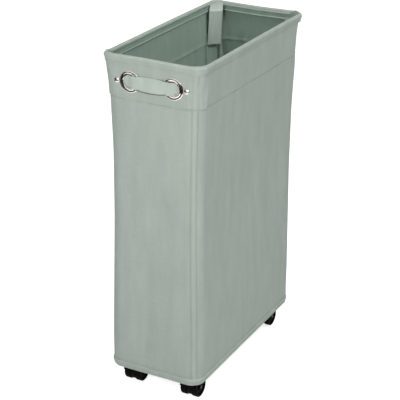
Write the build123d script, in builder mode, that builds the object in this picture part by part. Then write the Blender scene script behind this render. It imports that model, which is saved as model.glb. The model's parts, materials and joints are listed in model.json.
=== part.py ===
from build123d import *
import os
from math import atan2, cos, radians, sin, sqrt, tan

# Slim laundry bin on casters: a cloth bag held open by a rim wire and four corner rods.
# Millimetres, +Z up. The origin is on the floor under the middle of the bag.
# X runs across the narrow faces, Y from the face with the handle (-Y) to the rear (+Y).

os.makedirs("parts", exist_ok=True)

# Bag
rim_width = 185.0
rim_depth = 400.0
bag_height = 571.0
body_inset = 9.5
base_spread = 4.5
base_rise = 70.0
waist_rise = 285.0
seam_inset = 7.0
hem_height = 74.0
flare_height = 170.0
corner_radius = 23.0
cloth = 1.0
panel_lap = 8.0
seam_gap = 0.3

# Rim
casing_radius = 4.5
casing_neck = 9.5
wire_radius = 2.5
ferrule_wall = 0.8
ferrule_length = 24.0

# Base
board_thickness = 8.0
board_clearance = 0.3
binding_height = 14.0
binding_curl = 4.0

# Corner rods, caps, pockets and tabs
rod_radius = 4.0
rod_to_wall = 3.0
rod_clearance = 0.1
rod_foot_depth = 6.0
rod_top_drop = 25.0
cap_wall = 1.7
cap_length = 34.0
cap_crown = 7.0
cap_arm_width = 8.0
cap_arm_height = 12.0
cap_arm_end_gap = 2.5
soft_gap = 0.3
pocket_floor_gap = 3.0
pocket_top_drop = 55.0
hook_thickness = 0.9
hook_width = 20.0
hook_height = 16.0
hook_drop = 57.0
hook_gap = 0.1
tab_thickness = 2.0
tab_side_room = 5.0
tab_bottom_drop = 75.0
tab_pivot_drop = 6.0
tab_fold_drop = 12.0
tab_fold_radius = 3.0

# Handle
handle_drop = 42.5
strap_width = 24.0
strap_thickness = 1.6
strap_side_gap = 0.5
strap_lift = 0.6
strap_bend = 3.0
strap_travel = 10.0
leg_tail_gap = 0.3
tail_loop_depth = 4.5
tail_loop_width = 9.0
tail_bend = 3.0
tail_end = 4.2
tail_seat = 6.0
tail_clearance = 0.4
eyelet_to_rivet = 24.0
eyelet_flange = 6.0
eyelet_height = 2.2
eyelet_edge = 0.4
eyelet_wall = 0.8
eyelet_hole_gap = 0.1
eyelet_lip = 1.2
eyelet_lip_thickness = 0.7
washer_width = 2.5
washer_thickness = 0.8
rivet_margin = 5.0
rivet_radius = 4.8
rivet_height = 2.2
rivet_edge = 0.5
rivet_post_radius = 1.6
rivet_hole_gap = 0.05
rivet_back_radius = 4.0
rivet_back_thickness = 1.0

# Casters
caster_inset_x = 31.0
caster_inset_y = 51.5
wheel_radius = 18.0
wheel_width = 11.0
wheel_edge = 1.5
wheel_gap = 0.5
wheel_rim_wall = 3.4
wheel_dish = 2.6
wheel_hub_radius = 6.0
wheel_hub_step = 0.5
axle_radius = 2.0
axle_head_radius = 3.2
axle_head_thickness = 0.8
axle_head_gap = 0.1
running_gap = 0.05
trail = 10.0
web_half = 4.5
axle_boss_radius = 7.0
boss_height = 16.4
boss_gap = 0.1
kingpin_radius = 3.0
kingpin_head_radius = 4.5
kingpin_head_thickness = 1.4
kingpin_head_room = 0.6
hood_gap = 0.6
hood_wall = 1.6
hood_clearance = 0.8
hood_start = 30.0
hood_sweep = 135.0
plate_radius = 19.0
plate_thickness = 2.0
screw_count = 4
screw_start = 45.0
screw_circle = 14.0
screw_radius = 2.0
screw_head_radius = 3.6
screw_head_angle = 82.0
screw_clearance = 0.1
screw_reach = 7.0

# Heights, from the floor up
hood_radius = wheel_radius + hood_gap + hood_wall
hood_top = wheel_radius + hood_radius
plate_underside = hood_top + hood_clearance
bag_bottom = plate_underside + plate_thickness
board_bottom = bag_bottom + cloth
board_top = board_bottom + board_thickness
wall_bottom = bag_bottom + binding_curl
rim_top = bag_bottom + bag_height
casing_height = rim_top - casing_radius
wall_top = casing_height - casing_neck
hem_seam = rim_top - hem_height
flare_start = rim_top - flare_height
spread_end = bag_bottom + base_rise
waist_start = bag_bottom + waist_rise
handle_height = rim_top - handle_drop

# Places across the bag
half_width = rim_width / 2
half_depth = rim_depth / 2
top_inset = casing_radius - cloth
base_inset = body_inset - base_spread
body_half_x = half_width - body_inset
body_half_y = half_depth - body_inset
base_half_x = body_half_x + base_spread
corner_x = body_half_x - corner_radius
corner_y = body_half_y - corner_radius
base_corner_x = base_half_x - corner_radius
panel_half_x = corner_x + panel_lap
panel_half_y = corner_y + panel_lap
casing_turn = corner_radius - cloth
rim_corner_x = half_width - casing_radius - casing_turn
rim_corner_y = half_depth - casing_radius - casing_turn
tunnel_radius = casing_radius - cloth
board_chamfer = binding_curl / 2

# Places along the diagonal of a corner, measured outwards from the body's corner centre
rim_offset = sqrt(2) * (rim_corner_x - corner_x)
rod_place = corner_radius - cloth - rod_to_wall - rod_radius
rod_x = corner_x + rod_place / sqrt(2)
rod_y = corner_y + rod_place / sqrt(2)
cap_radius = rod_radius + rod_clearance + cap_wall
pocket_outer = rod_place - rod_radius - soft_gap
pocket_inner = pocket_outer - cloth
tab_outer = pocket_inner - hook_thickness - hook_gap
tab_middle = tab_outer - tab_thickness / 2
casing_inner_turn = casing_turn - casing_radius
tab_half_width = casing_inner_turn - tab_side_room
tab_end_reach = sqrt((casing_inner_turn - soft_gap) ** 2 - tab_half_width**2)
tab_pivot = rim_offset + tab_end_reach - tab_thickness / 2
tab_pivot_height = rim_top - tab_pivot_drop

corner_diagonal = Plane(origin=(corner_x, corner_y, 0), x_dir=(1, 1, 0), z_dir=(1, -1, 0))
corners = {
    "front_left": (-1, -1),
    "front_right": (1, -1),
    "rear_left": (-1, 1),
    "rear_right": (1, 1),
}

# Places on the handle's patch of the front wall, which leans outwards towards the rim
wall_lean = atan2(seam_inset - top_inset, wall_top - hem_seam)
handle_inset = top_inset + (wall_top - handle_height) * tan(wall_lean)
handle_plane = Plane(
    origin=(0, handle_inset - half_depth, handle_height),
    x_dir=(1, 0, 0),
    z_dir=(0, -cos(wall_lean), -sin(wall_lean)),
)
strap_plane = Plane(
    origin=handle_plane.origin,
    x_dir=(1, 0, 0),
    z_dir=(0, sin(wall_lean), -cos(wall_lean)),
)
wall_layers = 2 * cloth
rivet_x = panel_half_x - rivet_margin
eyelet_x = rivet_x - eyelet_to_rivet
eyelet_bore = strap_width / 2 + strap_side_gap
eyelet_outer = eyelet_bore + eyelet_wall
eyelet_hole = eyelet_outer + eyelet_hole_gap
rivet_hole = rivet_post_radius + rivet_hole_gap
washer_back = -wall_layers - washer_thickness
strap_face = eyelet_height + strap_lift
leg_end = washer_back - eyelet_lip_thickness - strap_travel
tail_face = -wall_layers - tail_clearance - strap_thickness
eyelet_spots = [handle_plane.location * Pos(x, 0, 0) for x in (-eyelet_x, eyelet_x)]
rivet_spots = [handle_plane.location * Pos(x, 0, 0) for x in (-rivet_x, rivet_x)]

# Places on a caster, from its swivel axis
swivel_x = base_half_x - caster_inset_x
swivel_y = body_half_y - caster_inset_y
boss_top = plate_underside - boss_gap
boss_bottom = boss_top - boss_height
wheel_inner = web_half + wheel_gap
wheel_outer = wheel_inner + wheel_width
hub_face = wheel_outer - wheel_hub_step
axle_end = hub_face + axle_head_gap + axle_head_thickness
screw_hole = screw_radius + screw_clearance
screw_head_depth = (screw_head_radius - screw_radius) / tan(radians(screw_head_angle / 2))
caster_spots = {name: (x * swivel_x, y * swivel_y) for name, (x, y) in corners.items()}


def save(piece, name):
    """Label a finished piece and write its file."""
    piece.label = name
    export_step(piece, f"parts/{name}.step")


def outline(side_inset, end_inset, depth):
    """The bag's outline at one height, some cloth layers deep, on the same corner centres."""
    RectangleRounded(
        rim_width - 2 * (side_inset + depth),
        rim_depth - 2 * (end_inset + depth),
        corner_radius - depth,
    )


def bag_form(stations, depth):
    """The bag as a full form through (height, side inset, end inset) stations, some depth inside it."""
    with BuildPart() as form:
        for height, side_inset, end_inset in stations:
            with BuildSketch(Plane.XY.offset(height)):
                outline(side_inset, end_inset, depth)
        loft(ruled=True)
    return form.part


def wall_layer(stations, depth):
    """One closed ring of cloth through the stations, some depth inside the outer face."""
    with BuildPart() as ring:
        add(bag_form(stations, depth))
        add(bag_form(stations, depth + cloth), mode=Mode.SUBTRACT)
    return ring.part


def front_length(ring):
    """The front stretch of a ring of cloth."""
    with BuildPart() as stretch:
        add(ring)
        with Locations((0, -half_depth, 0)):
            Box(2 * panel_half_x, rim_depth, 2 * rim_top, mode=Mode.INTERSECT)
    return stretch.part


def pierced(stretch):
    """A front stretch of cloth with holes for the eyelets and rivets."""
    with BuildPart() as cloth_piece:
        add(stretch)
        with BuildSketch(handle_plane):
            with Locations((-eyelet_x, 0), (eyelet_x, 0)):
                Circle(eyelet_hole)
            with Locations((-rivet_x, 0), (rivet_x, 0)):
                Circle(rivet_hole)
        extrude(amount=corner_radius, both=True, mode=Mode.SUBTRACT)
    return cloth_piece.part


def right_length(ring):
    """The right stretch of a ring of cloth."""
    with BuildPart() as stretch:
        add(ring)
        with Locations((half_width, 0, 0)):
            Box(rim_width, 2 * panel_half_y, 2 * rim_top, mode=Mode.INTERSECT)
    return stretch.part


def mirrored(piece, plane):
    """The mirror image of a piece."""
    with BuildPart() as image:
        mirror(piece, about=plane)
    return image.part


def in_corner(piece, across, along):
    """A copy of a rear right corner piece in the corner that the two signs give."""
    if across < 0:
        piece = mirrored(piece, Plane.YZ)
    if along < 0:
        piece = mirrored(piece, Plane.XZ)
    return piece


def in_all_corners(piece):
    """Four copies of a rear right corner piece as one group of separate solids."""
    with BuildPart() as group:
        for across, along in corners.values():
            add(in_corner(piece, across, along))
    return group.part


def at_spot(piece, spot):
    """A copy of a front caster piece at one swivel axis, turned to face outwards."""
    if spot[1] > 0:
        piece = mirrored(piece, Plane.XZ)
    with BuildPart() as placed:
        with Locations(spot):
            add(piece)
    return placed.part


def ring_lengths(profile, place_x, place_y, centre_x, centre_y):
    """Four straight lengths and four corner turns of a profile that runs round the bag.

    The profile is drawn with x outwards and y up, and its x is zero on the path.
    """
    run_x = 2 * centre_x - 2 * seam_gap
    run_y = 2 * centre_y - 2 * seam_gap
    front_end = Plane(origin=(run_x / 2, -place_y, 0), x_dir=(0, -1, 0), z_dir=(-1, 0, 0))
    right_end = Plane(origin=(place_x, run_y / 2, 0), x_dir=(1, 0, 0), z_dir=(0, -1, 0))
    turn_start = Plane(origin=(place_x, centre_y, 0), x_dir=(1, 0, 0), z_dir=(0, -1, 0))
    with BuildPart() as front_run:
        with BuildSketch(front_end):
            add(profile)
        extrude(amount=run_x)
    with BuildPart() as right_run:
        with BuildSketch(right_end):
            add(profile)
        extrude(amount=run_y)
    with BuildPart() as turn:
        with BuildSketch(turn_start):
            add(profile)
        revolve(axis=Axis((centre_x, centre_y, 0), (0, 0, 1)), revolution_arc=90)
    with BuildPart() as ring:
        add(front_run.part)
        add(mirrored(front_run.part, Plane.XZ))
        add(right_run.part)
        add(mirrored(right_run.part, Plane.YZ))
        add(in_all_corners(turn.part))
    return ring.part


# Walls: an outer layer, and a second layer inside it from the rim to the hem seam
outer_stations = [
    (wall_bottom, base_inset, body_inset),
    (spread_end, base_inset, body_inset),
    (waist_start, body_inset, body_inset),
    (flare_start, body_inset, body_inset),
    (hem_seam, seam_inset, seam_inset),
    (wall_top, top_inset, top_inset),
]
outer_wall = wall_layer(outer_stations, 0)
hem_layer = wall_layer(outer_stations[-2:], cloth)

front_panel = front_length(outer_wall)
right_panel = right_length(outer_wall)
save(pierced(front_panel), "front_panel")
save(mirrored(front_panel, Plane.XZ), "rear_panel")
save(right_panel, "right_panel")
save(mirrored(right_panel, Plane.YZ), "left_panel")

front_facing = front_length(hem_layer)
right_facing = right_length(hem_layer)
with BuildPart() as hem_facings:
    add(pierced(front_facing))
    add(mirrored(front_facing, Plane.XZ))
    add(right_facing)
    add(mirrored(right_facing, Plane.YZ))
save(hem_facings.part, "hem_facings")

with BuildPart() as corner_strip:
    add(outer_wall)
    with Locations((panel_half_x, panel_half_y, 0)):
        Box(
            half_width,
            half_depth,
            rim_top,
            align=(Align.MIN, Align.MIN, Align.MIN),
            mode=Mode.INTERSECT,
        )
for name, (across, along) in corners.items():
    save(in_corner(corner_strip.part, across, along), f"{name}_corner_strip")

# Rim: a cloth tunnel round the wire, closed to a narrow neck on top of the walls
with BuildSketch() as casing_profile:
    with BuildLine():
        CenterArc((0, casing_height), casing_radius, 0, 360)
        Line((-cloth, wall_top), (cloth, wall_top))
    make_hull()
    with Locations((0, casing_height)):
        Circle(tunnel_radius, mode=Mode.SUBTRACT)
rim_casing = ring_lengths(
    casing_profile.sketch,
    half_width - casing_radius,
    half_depth - casing_radius,
    rim_corner_x,
    rim_corner_y,
)
save(rim_casing, "rim_casing")

with BuildSketch(Plane.XY.offset(casing_height)) as rim_path:
    RectangleRounded(
        rim_width - 2 * casing_radius,
        rim_depth - 2 * casing_radius,
        casing_turn,
    )
wire_start = Plane(origin=(0, casing_radius - half_depth, casing_height), z_dir=(1, 0, 0))
with BuildPart() as rim_wire:
    with BuildSketch(wire_start):
        Circle(wire_radius)
    sweep(path=rim_path.sketch.wires()[0])
save(rim_wire.part, "rim_wire")

with BuildPart() as rim_ferrule:
    with BuildSketch(Plane(origin=(0, half_depth - casing_radius, casing_height), z_dir=(1, 0, 0))):
        Circle(wire_radius + ferrule_wall)
        Circle(wire_radius, mode=Mode.SUBTRACT)
    extrude(amount=ferrule_length / 2, both=True)
save(rim_ferrule.part, "rim_ferrule")

# Base: binding round the bottom edge, cloth underneath, stiff board inside
binding_top = bag_bottom + binding_height
curl_x = cloth - binding_curl
with BuildSketch() as binding_profile:
    with BuildLine():
        Polyline((cloth, wall_bottom), (cloth, binding_top), (0, binding_top), (0, wall_bottom))
        CenterArc((curl_x, wall_bottom), binding_curl - cloth, -90, 90)
        Line((curl_x, board_bottom), (curl_x, bag_bottom))
        CenterArc((curl_x, wall_bottom), binding_curl, -90, 90)
    make_face()
base_binding = ring_lengths(
    binding_profile.sketch, base_half_x, body_half_y, base_corner_x, corner_y
)
save(base_binding, "base_binding")

with BuildPart() as base_cloth:
    with BuildSketch(Plane.XY.offset(bag_bottom)):
        outline(base_inset, body_inset, binding_curl - cloth)
        for spot in caster_spots.values():
            with Locations(spot):
                with PolarLocations(screw_circle, screw_count, screw_start):
                    Circle(screw_hole, mode=Mode.SUBTRACT)
    extrude(amount=cloth)
save(base_cloth.part, "base_cloth")

with BuildPart() as base_board:
    with BuildSketch(Plane.XY.offset(board_bottom)):
        outline(base_inset, body_inset, cloth + board_clearance)
    extrude(amount=board_thickness)
    lower_edges = base_board.faces().sort_by(Axis.Z)[0].edges()
    chamfer(lower_edges, length=board_chamfer)
    with BuildSketch(Plane.XY.offset(board_bottom)):
        for spot in caster_spots.values():
            with Locations(spot):
                with PolarLocations(screw_circle, screw_count, screw_start):
                    Circle(screw_hole)
    extrude(amount=screw_reach, mode=Mode.SUBTRACT)
    with BuildSketch(Plane.XY.offset(board_top)):
        with GridLocations(2 * rod_x, 2 * rod_y, 2, 2):
            Circle(rod_radius + rod_clearance)
    extrude(amount=-rod_foot_depth, mode=Mode.SUBTRACT)
save(base_board.part, "base_board")

# Corner frame: rod, cap that holds up the rim, pocket, hook patch and tab, drawn in the rear right corner
rod_foot = board_top - rod_foot_depth
rod_top = rim_top - rod_top_drop
with BuildPart() as corner_rod:
    with BuildSketch(Plane.XY.offset(rod_foot)):
        with Locations((rod_x, rod_y)):
            Circle(rod_radius)
    extrude(amount=rod_top - rod_foot)
for name, (across, along) in corners.items():
    save(in_corner(corner_rod.part, across, along), f"{name}_corner_rod")

cap_top = rod_top + cap_crown
cap_bottom = cap_top - cap_length
arm_bottom = cap_top - cap_arm_height / 2
arm_end = rim_offset + casing_turn - cap_arm_end_gap
with BuildPart() as rod_cap:
    with BuildSketch(Plane.XY.offset(cap_bottom)):
        with Locations((rod_x, rod_y)):
            Circle(cap_radius)
    extrude(amount=cap_length)
    with BuildSketch(corner_diagonal):
        with Locations((rod_place, arm_bottom)):
            Rectangle(arm_end - rod_place, cap_arm_height, align=(Align.MIN, Align.MIN))
    extrude(amount=cap_arm_width / 2, both=True)
    with BuildSketch(Plane.XY.offset(cap_bottom)):
        with Locations((rod_x, rod_y)):
            Circle(rod_radius + rod_clearance)
    extrude(amount=rod_top - cap_bottom, mode=Mode.SUBTRACT)
    with BuildSketch(corner_diagonal):
        with BuildLine():
            casing_centre = (rim_offset + casing_turn, casing_height)
            CenterArc(casing_centre, casing_radius + soft_gap, 0, 360)
            neck_half = cloth + soft_gap
            Line(
                (casing_centre[0] - neck_half, wall_top - soft_gap),
                (casing_centre[0] + neck_half, wall_top - soft_gap),
            )
        make_hull()
    rim_axis = Axis((rim_corner_x, rim_corner_y, 0), (0, 0, 1))
    revolve(axis=rim_axis, mode=Mode.SUBTRACT)
save(in_all_corners(rod_cap.part), "rod_caps")

pocket_bottom = board_top + pocket_floor_gap
pocket_top = rim_top - pocket_top_drop
with BuildPart() as rod_pocket:
    add(bag_form(outer_stations, cloth))
    with BuildSketch(corner_diagonal):
        with Locations((pocket_inner, pocket_bottom)):
            Rectangle(cloth, pocket_top - pocket_bottom, align=(Align.MIN, Align.MIN))
    extrude(amount=half_width, both=True, mode=Mode.INTERSECT)
    add(hem_layer, mode=Mode.SUBTRACT)
save(in_all_corners(rod_pocket.part), "rod_pockets")

with BuildPart() as hook_patch:
    with BuildSketch(corner_diagonal):
        with Locations((pocket_inner, rim_top - hook_drop)):
            Rectangle(hook_thickness, hook_height, align=(Align.MAX, Align.MAX))
    extrude(amount=hook_width / 2, both=True)
save(in_all_corners(hook_patch.part), "hook_patches")

with BuildPart() as corner_tab:
    with BuildSketch(corner_diagonal):
        with BuildLine():
            FilletPolyline(
                (tab_pivot, tab_pivot_height),
                (tab_middle, rim_top - tab_fold_drop),
                (tab_middle, rim_top - tab_bottom_drop),
                radius=tab_fold_radius,
            )
        trace(line_width=tab_thickness)
        with Locations((tab_pivot, tab_pivot_height)):
            Circle(tab_thickness / 2)
    extrude(amount=tab_half_width, both=True)
for name, (across, along) in corners.items():
    save(in_corner(corner_tab.part, across, along), f"{name}_corner_tab")

# Handle: eyelets, rivets, strap and tails on the front wall
with BuildPart() as eyelet:
    with BuildSketch(Plane.XZ):
        with BuildLine():
            flange_edge = eyelet_bore + eyelet_flange
            crown = ThreePointArc(
                (eyelet_bore, eyelet_edge),
                (eyelet_bore + eyelet_flange / 2, eyelet_height),
                (flange_edge, eyelet_edge),
            )
            Polyline(
                crown @ 1,
                (flange_edge, 0),
                (eyelet_outer, 0),
                (eyelet_outer, washer_back),
                (eyelet_outer + eyelet_lip, washer_back),
                (eyelet_outer + eyelet_lip, washer_back - eyelet_lip_thickness),
                (eyelet_bore, washer_back - eyelet_lip_thickness),
                crown @ 0,
            )
        make_face()
    revolve(axis=Axis.Z)

with BuildPart() as eyelet_washer:
    with BuildSketch(Plane.XY.offset(washer_back)):
        Circle(eyelet_hole + washer_width)
        Circle(eyelet_hole, mode=Mode.SUBTRACT)
    extrude(amount=washer_thickness)

with BuildPart() as rivet:
    with BuildSketch(Plane.XZ):
        with BuildLine():
            dome = TangentArc((0, rivet_height), (rivet_radius, rivet_edge), tangent=(1, 0))
            Polyline(
                dome @ 1,
                (rivet_radius, 0),
                (rivet_post_radius, 0),
                (rivet_post_radius, tail_face - rivet_back_thickness),
                (0, tail_face - rivet_back_thickness),
                dome @ 0,
            )
        make_face()
    revolve(axis=Axis.Z)

with BuildPart() as rivet_back:
    with BuildSketch(Plane.XY.offset(tail_face)):
        Circle(rivet_back_radius)
        Circle(rivet_hole, mode=Mode.SUBTRACT)
    extrude(amount=-rivet_back_thickness)

with BuildPart() as front_eyelets:
    with Locations(*eyelet_spots):
        add(eyelet.part)
with BuildPart() as front_washers:
    with Locations(*eyelet_spots):
        add(eyelet_washer.part)
with BuildPart() as front_rivets:
    with Locations(*rivet_spots):
        add(rivet.part)
        add(rivet_back.part)

with BuildPart() as front_strap:
    with BuildSketch(strap_plane) as strap_profile:
        strap_span = 2 * eyelet_x + strap_thickness
        strap_top = strap_face + strap_thickness
        with Locations((0, strap_top)):
            Rectangle(strap_span, strap_top - leg_end, align=(Align.CENTER, Align.MAX))
        fillet(strap_profile.vertices().group_by(Axis.Y)[-1], radius=strap_bend)
        with BuildSketch(mode=Mode.PRIVATE) as strap_inside:
            with Locations((0, strap_face)):
                Rectangle(
                    strap_span - 2 * strap_thickness,
                    strap_face - leg_end,
                    align=(Align.CENTER, Align.MAX),
                )
            fillet(strap_inside.vertices().group_by(Axis.Y)[-1], radius=strap_bend - strap_thickness)
        add(strap_inside.sketch, mode=Mode.SUBTRACT)
    extrude(amount=strap_width / 2, both=True)

with BuildPart() as right_tail:
    with BuildSketch(strap_plane):
        with BuildLine():
            tail_start = leg_end - leg_tail_gap
            tail_line = tail_face + strap_thickness / 2
            FilletPolyline(
                (eyelet_x, tail_start),
                (eyelet_x, tail_start - tail_loop_depth),
                (eyelet_x + tail_loop_width, tail_start - tail_loop_depth),
                (rivet_x - tail_seat, tail_line),
                (rivet_x + tail_end, tail_line),
                radius=tail_bend,
            )
        trace(line_width=strap_thickness)
    extrude(amount=strap_width / 2, both=True)
    with Locations(rivet_spots[1]):
        Hole(rivet_hole)
with BuildPart() as front_tails:
    add(right_tail.part)
    add(mirrored(right_tail.part, Plane.YZ))

handle_pieces = {
    "eyelets": front_eyelets.part,
    "eyelet_washers": front_washers.part,
    "rivets": front_rivets.part,
    "strap": front_strap.part,
    "strap_tails": front_tails.part,
}
for name, piece in handle_pieces.items():
    save(piece, f"front_{name}")

# Casters: every piece is drawn round one swivel axis of the front, with the wheels trailing outwards
axle_centre = (-trail, wheel_radius)


def hood_sector(inner_radius):
    """A sector of the hood's outline, from an inner radius out to the top of the hood."""
    with BuildSketch(Plane.YZ) as sector:
        with BuildLine():
            outer_arc = CenterArc(axle_centre, hood_radius, hood_start, hood_sweep)
            inner_arc = CenterArc(axle_centre, inner_radius, hood_start, hood_sweep)
            Line(outer_arc @ 0, inner_arc @ 0)
            Line(outer_arc @ 1, inner_arc @ 1)
        make_face()
    return sector.sketch


with BuildPart() as caster_plate:
    with BuildSketch(Plane.XY.offset(plate_underside)):
        Circle(plate_radius)
        Circle(kingpin_radius, mode=Mode.SUBTRACT)
    extrude(amount=plate_thickness)
    with Locations(Plane(origin=(0, 0, plate_underside), z_dir=(0, 0, -1))):
        with PolarLocations(screw_circle, screw_count, screw_start):
            CounterSinkHole(
                screw_hole,
                screw_head_radius + screw_clearance,
                counter_sink_angle=screw_head_angle,
            )

with BuildPart() as caster_screws:
    with BuildSketch(Plane.XZ):
        with BuildLine():
            Polyline(
                (0, plate_underside),
                (screw_head_radius, plate_underside),
                (screw_radius, plate_underside + screw_head_depth),
                (screw_radius, board_bottom + screw_reach),
                (0, board_bottom + screw_reach),
                close=True,
            )
        make_face()
    screw = revolve(axis=Axis.Z, mode=Mode.PRIVATE)
    with PolarLocations(screw_circle, screw_count, screw_start):
        add(screw)

with BuildPart() as kingpin:
    head_top = boss_bottom - boss_gap
    with BuildSketch(Plane.XY.offset(head_top - kingpin_head_thickness)):
        Circle(kingpin_head_radius)
    extrude(amount=kingpin_head_thickness)
    with BuildSketch(Plane.XY.offset(head_top)):
        Circle(kingpin_radius)
    extrude(amount=bag_bottom - head_top)

with BuildPart() as caster_housing:
    with BuildSketch(Plane.YZ):
        with BuildLine():
            CenterArc(axle_centre, axle_boss_radius, 0, 360)
            Polyline(
                (-web_half, hood_top),
                (web_half, hood_top),
                (web_half, boss_bottom),
            )
        make_hull()
    extrude(amount=web_half, both=True)
    extrude(hood_sector(axle_boss_radius), amount=web_half, both=True)
    extrude(hood_sector(wheel_radius + hood_gap), amount=wheel_outer, both=True)
    with BuildSketch(Plane.XY.offset(boss_bottom)):
        Circle(web_half)
    extrude(amount=boss_top - boss_bottom)
    with BuildSketch(Plane.XY):
        Circle(kingpin_head_radius + kingpin_head_room)
    extrude(amount=boss_bottom, mode=Mode.SUBTRACT)
    with BuildSketch(Plane.XY):
        Circle(kingpin_radius + running_gap)
    extrude(amount=boss_top, mode=Mode.SUBTRACT)
    with BuildSketch(Plane.YZ):
        with Locations(axle_centre):
            Circle(axle_radius)
    extrude(amount=web_half, both=True, mode=Mode.SUBTRACT)

with BuildPart() as caster_axle:
    with BuildSketch(Plane.YZ):
        with Locations(axle_centre):
            Circle(axle_radius)
    extrude(amount=axle_end, both=True)
    head_start = hub_face + axle_head_gap
    for end_plane in (Plane.YZ.offset(head_start), Plane.YZ.offset(-axle_end)):
        with BuildSketch(end_plane):
            with Locations(axle_centre):
                Circle(axle_head_radius)
        extrude(amount=axle_head_thickness)

with BuildPart() as right_wheel:
    with BuildSketch(Plane((0, -trail, wheel_radius))) as wheel_profile:
        bore = axle_radius + running_gap
        with BuildLine():
            Polyline(
                (wheel_inner, bore),
                (wheel_inner, wheel_radius),
                (wheel_outer, wheel_radius),
                (wheel_outer, wheel_radius - wheel_rim_wall),
                (wheel_outer - wheel_dish, wheel_radius - wheel_rim_wall),
                (wheel_outer - wheel_dish, wheel_hub_radius),
                (hub_face, wheel_hub_radius),
                (hub_face, bore),
                close=True,
            )
        make_face()
        fillet(wheel_profile.vertices().group_by(Axis.Y)[-1], radius=wheel_edge)
    revolve(axis=Axis((0, -trail, wheel_radius), (1, 0, 0)))

caster_pieces = {
    "caster_plate": caster_plate.part,
    "caster_housing": caster_housing.part,
    "caster_axle": caster_axle.part,
    "right_wheel": right_wheel.part,
    "left_wheel": mirrored(right_wheel.part, Plane.YZ),
}
for corner, spot in caster_spots.items():
    for name, piece in caster_pieces.items():
        save(at_spot(piece, spot), f"{corner}_{name}")

with BuildPart() as all_kingpins:
    with Locations(*caster_spots.values()):
        add(kingpin.part)
save(all_kingpins.part, "kingpins")

with BuildPart() as all_screws:
    with Locations(*caster_spots.values()):
        add(caster_screws.part)
save(all_screws.part, "caster_screws")
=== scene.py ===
import json
from math import cos, pi, radians, sin

import bpy
import numpy as np
from bpy.props import FloatProperty, FloatVectorProperty, PointerProperty
from mathutils import Matrix, Vector, noise


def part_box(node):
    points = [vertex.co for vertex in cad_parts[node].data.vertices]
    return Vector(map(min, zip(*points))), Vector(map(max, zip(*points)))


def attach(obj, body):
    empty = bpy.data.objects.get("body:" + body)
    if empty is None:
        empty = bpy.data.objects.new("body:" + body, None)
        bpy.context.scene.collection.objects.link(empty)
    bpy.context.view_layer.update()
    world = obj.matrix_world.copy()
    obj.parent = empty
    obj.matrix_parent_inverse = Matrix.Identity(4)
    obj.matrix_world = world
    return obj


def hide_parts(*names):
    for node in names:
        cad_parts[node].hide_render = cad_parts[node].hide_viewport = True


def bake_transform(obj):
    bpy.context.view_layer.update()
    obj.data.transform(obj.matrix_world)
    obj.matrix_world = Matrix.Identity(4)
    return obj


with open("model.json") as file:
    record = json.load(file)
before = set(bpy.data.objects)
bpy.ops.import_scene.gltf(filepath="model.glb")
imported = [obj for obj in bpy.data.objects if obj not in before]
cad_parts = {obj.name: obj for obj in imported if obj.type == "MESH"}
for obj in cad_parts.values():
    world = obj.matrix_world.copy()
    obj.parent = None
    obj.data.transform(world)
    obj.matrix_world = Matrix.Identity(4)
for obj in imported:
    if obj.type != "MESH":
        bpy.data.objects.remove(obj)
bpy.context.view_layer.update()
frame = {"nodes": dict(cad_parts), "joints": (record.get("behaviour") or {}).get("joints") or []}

bl_info = {
    "name": "Laundry bin on casters",
    "version": (1, 0, 0),
    "blender": (4, 5, 0),
    "location": "View3D > Sidebar > Laundry bin",
    "description": "Dresses the frame of a slim cloth laundry bin with its cloth, fittings and finishes",
    "category": "Object",
}

# The walk round the bag: the front run, then each turn and run, counterclockwise from above.
# A station is a place on that walk. Even whole numbers start a run, odd ones a turn.
TURNS = ("front_right", "rear_right", "rear_left", "front_left")
TURN_SIGNS = np.array([(1, -1), (1, 1), (-1, 1), (-1, -1)])
PANELS = ("front", "right", "rear", "left")
WALK = 2 * len(TURNS)
ENDS = {"left": -1, "right": 1}

# Places that the frame fixes
rim_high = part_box("rim_casing")[1]
wall_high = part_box("right_panel")[1]
binding_low, binding_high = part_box("base_binding")
eyelet_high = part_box("front_eyelets")[1]
rivet_low, rivet_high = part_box("front_rivets")
tab_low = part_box("rear_right_corner_tab")[0]
pocket_low, pocket_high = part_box("rod_pockets")
patch_low, patch_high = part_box("hook_patches")
rim_top = rim_high.z
bag_bottom = binding_low.z
wall_top = wall_high.z
joints = {joint["name"]: joint for joint in frame["joints"]}
handle_axis = Vector(joints["front_handle_pull"]["axis"])
handle_height = (rivet_low.z + rivet_high.z) / 2

# Sizes that other defaults are worked out from
cloth_thickness = 0.001
rim_overhang = 0.0035

# Ripples of the cloth, each as noise units in a metre across it and up it
BROAD_FOLDS = (24, 3.5)
NARROW_FOLDS = (55, 9)
FINE_FOLDS = (110, 30)
SEAM_PUCKERS = (95, 40)
RIM_LUMPS = (60, 60)
RIM_CREASES = (170, 60)
BINDING_PUCKERS = (120, 50)
BINDING_SWELL = (30, 20)
BINDING_WANDER = (40, 0)
BASE_SAG = (30, 0)

# Slow waves along the walk, each as its size, its speed and its start
SEAM_WAVES = ((0.0012, 1.7, 0.4), (0.0008, 4.1, 2.0))
RIM_WAVES = ((1, 2.3, 1.0), (0.6, 5.2, 0))

# How finely the bands that go round the bag are laid out
BAND_COLUMNS = 440
CASING_COLUMNS = 460
STITCH_POINTS = 900


def length(name, description, default):
    """A size in metres that a user may change."""
    return FloatProperty(name=name, description=description, default=default, unit="LENGTH", precision=4)


def corner_lengths(name, description, default):
    """One length for each corner of the walk, which a user may change."""
    return FloatVectorProperty(
        name=name, description=description, default=default, size=len(TURNS), unit="LENGTH", precision=4
    )


def turn_angle(name, description, degrees):
    """An angle that a user may change."""
    return FloatProperty(name=name, description=description, default=radians(degrees), subtype="ANGLE")


def share(name, description, default):
    """A share from 0 to 1 that a user may change."""
    return FloatProperty(name=name, description=description, default=default, subtype="FACTOR", min=0, max=1)


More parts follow.
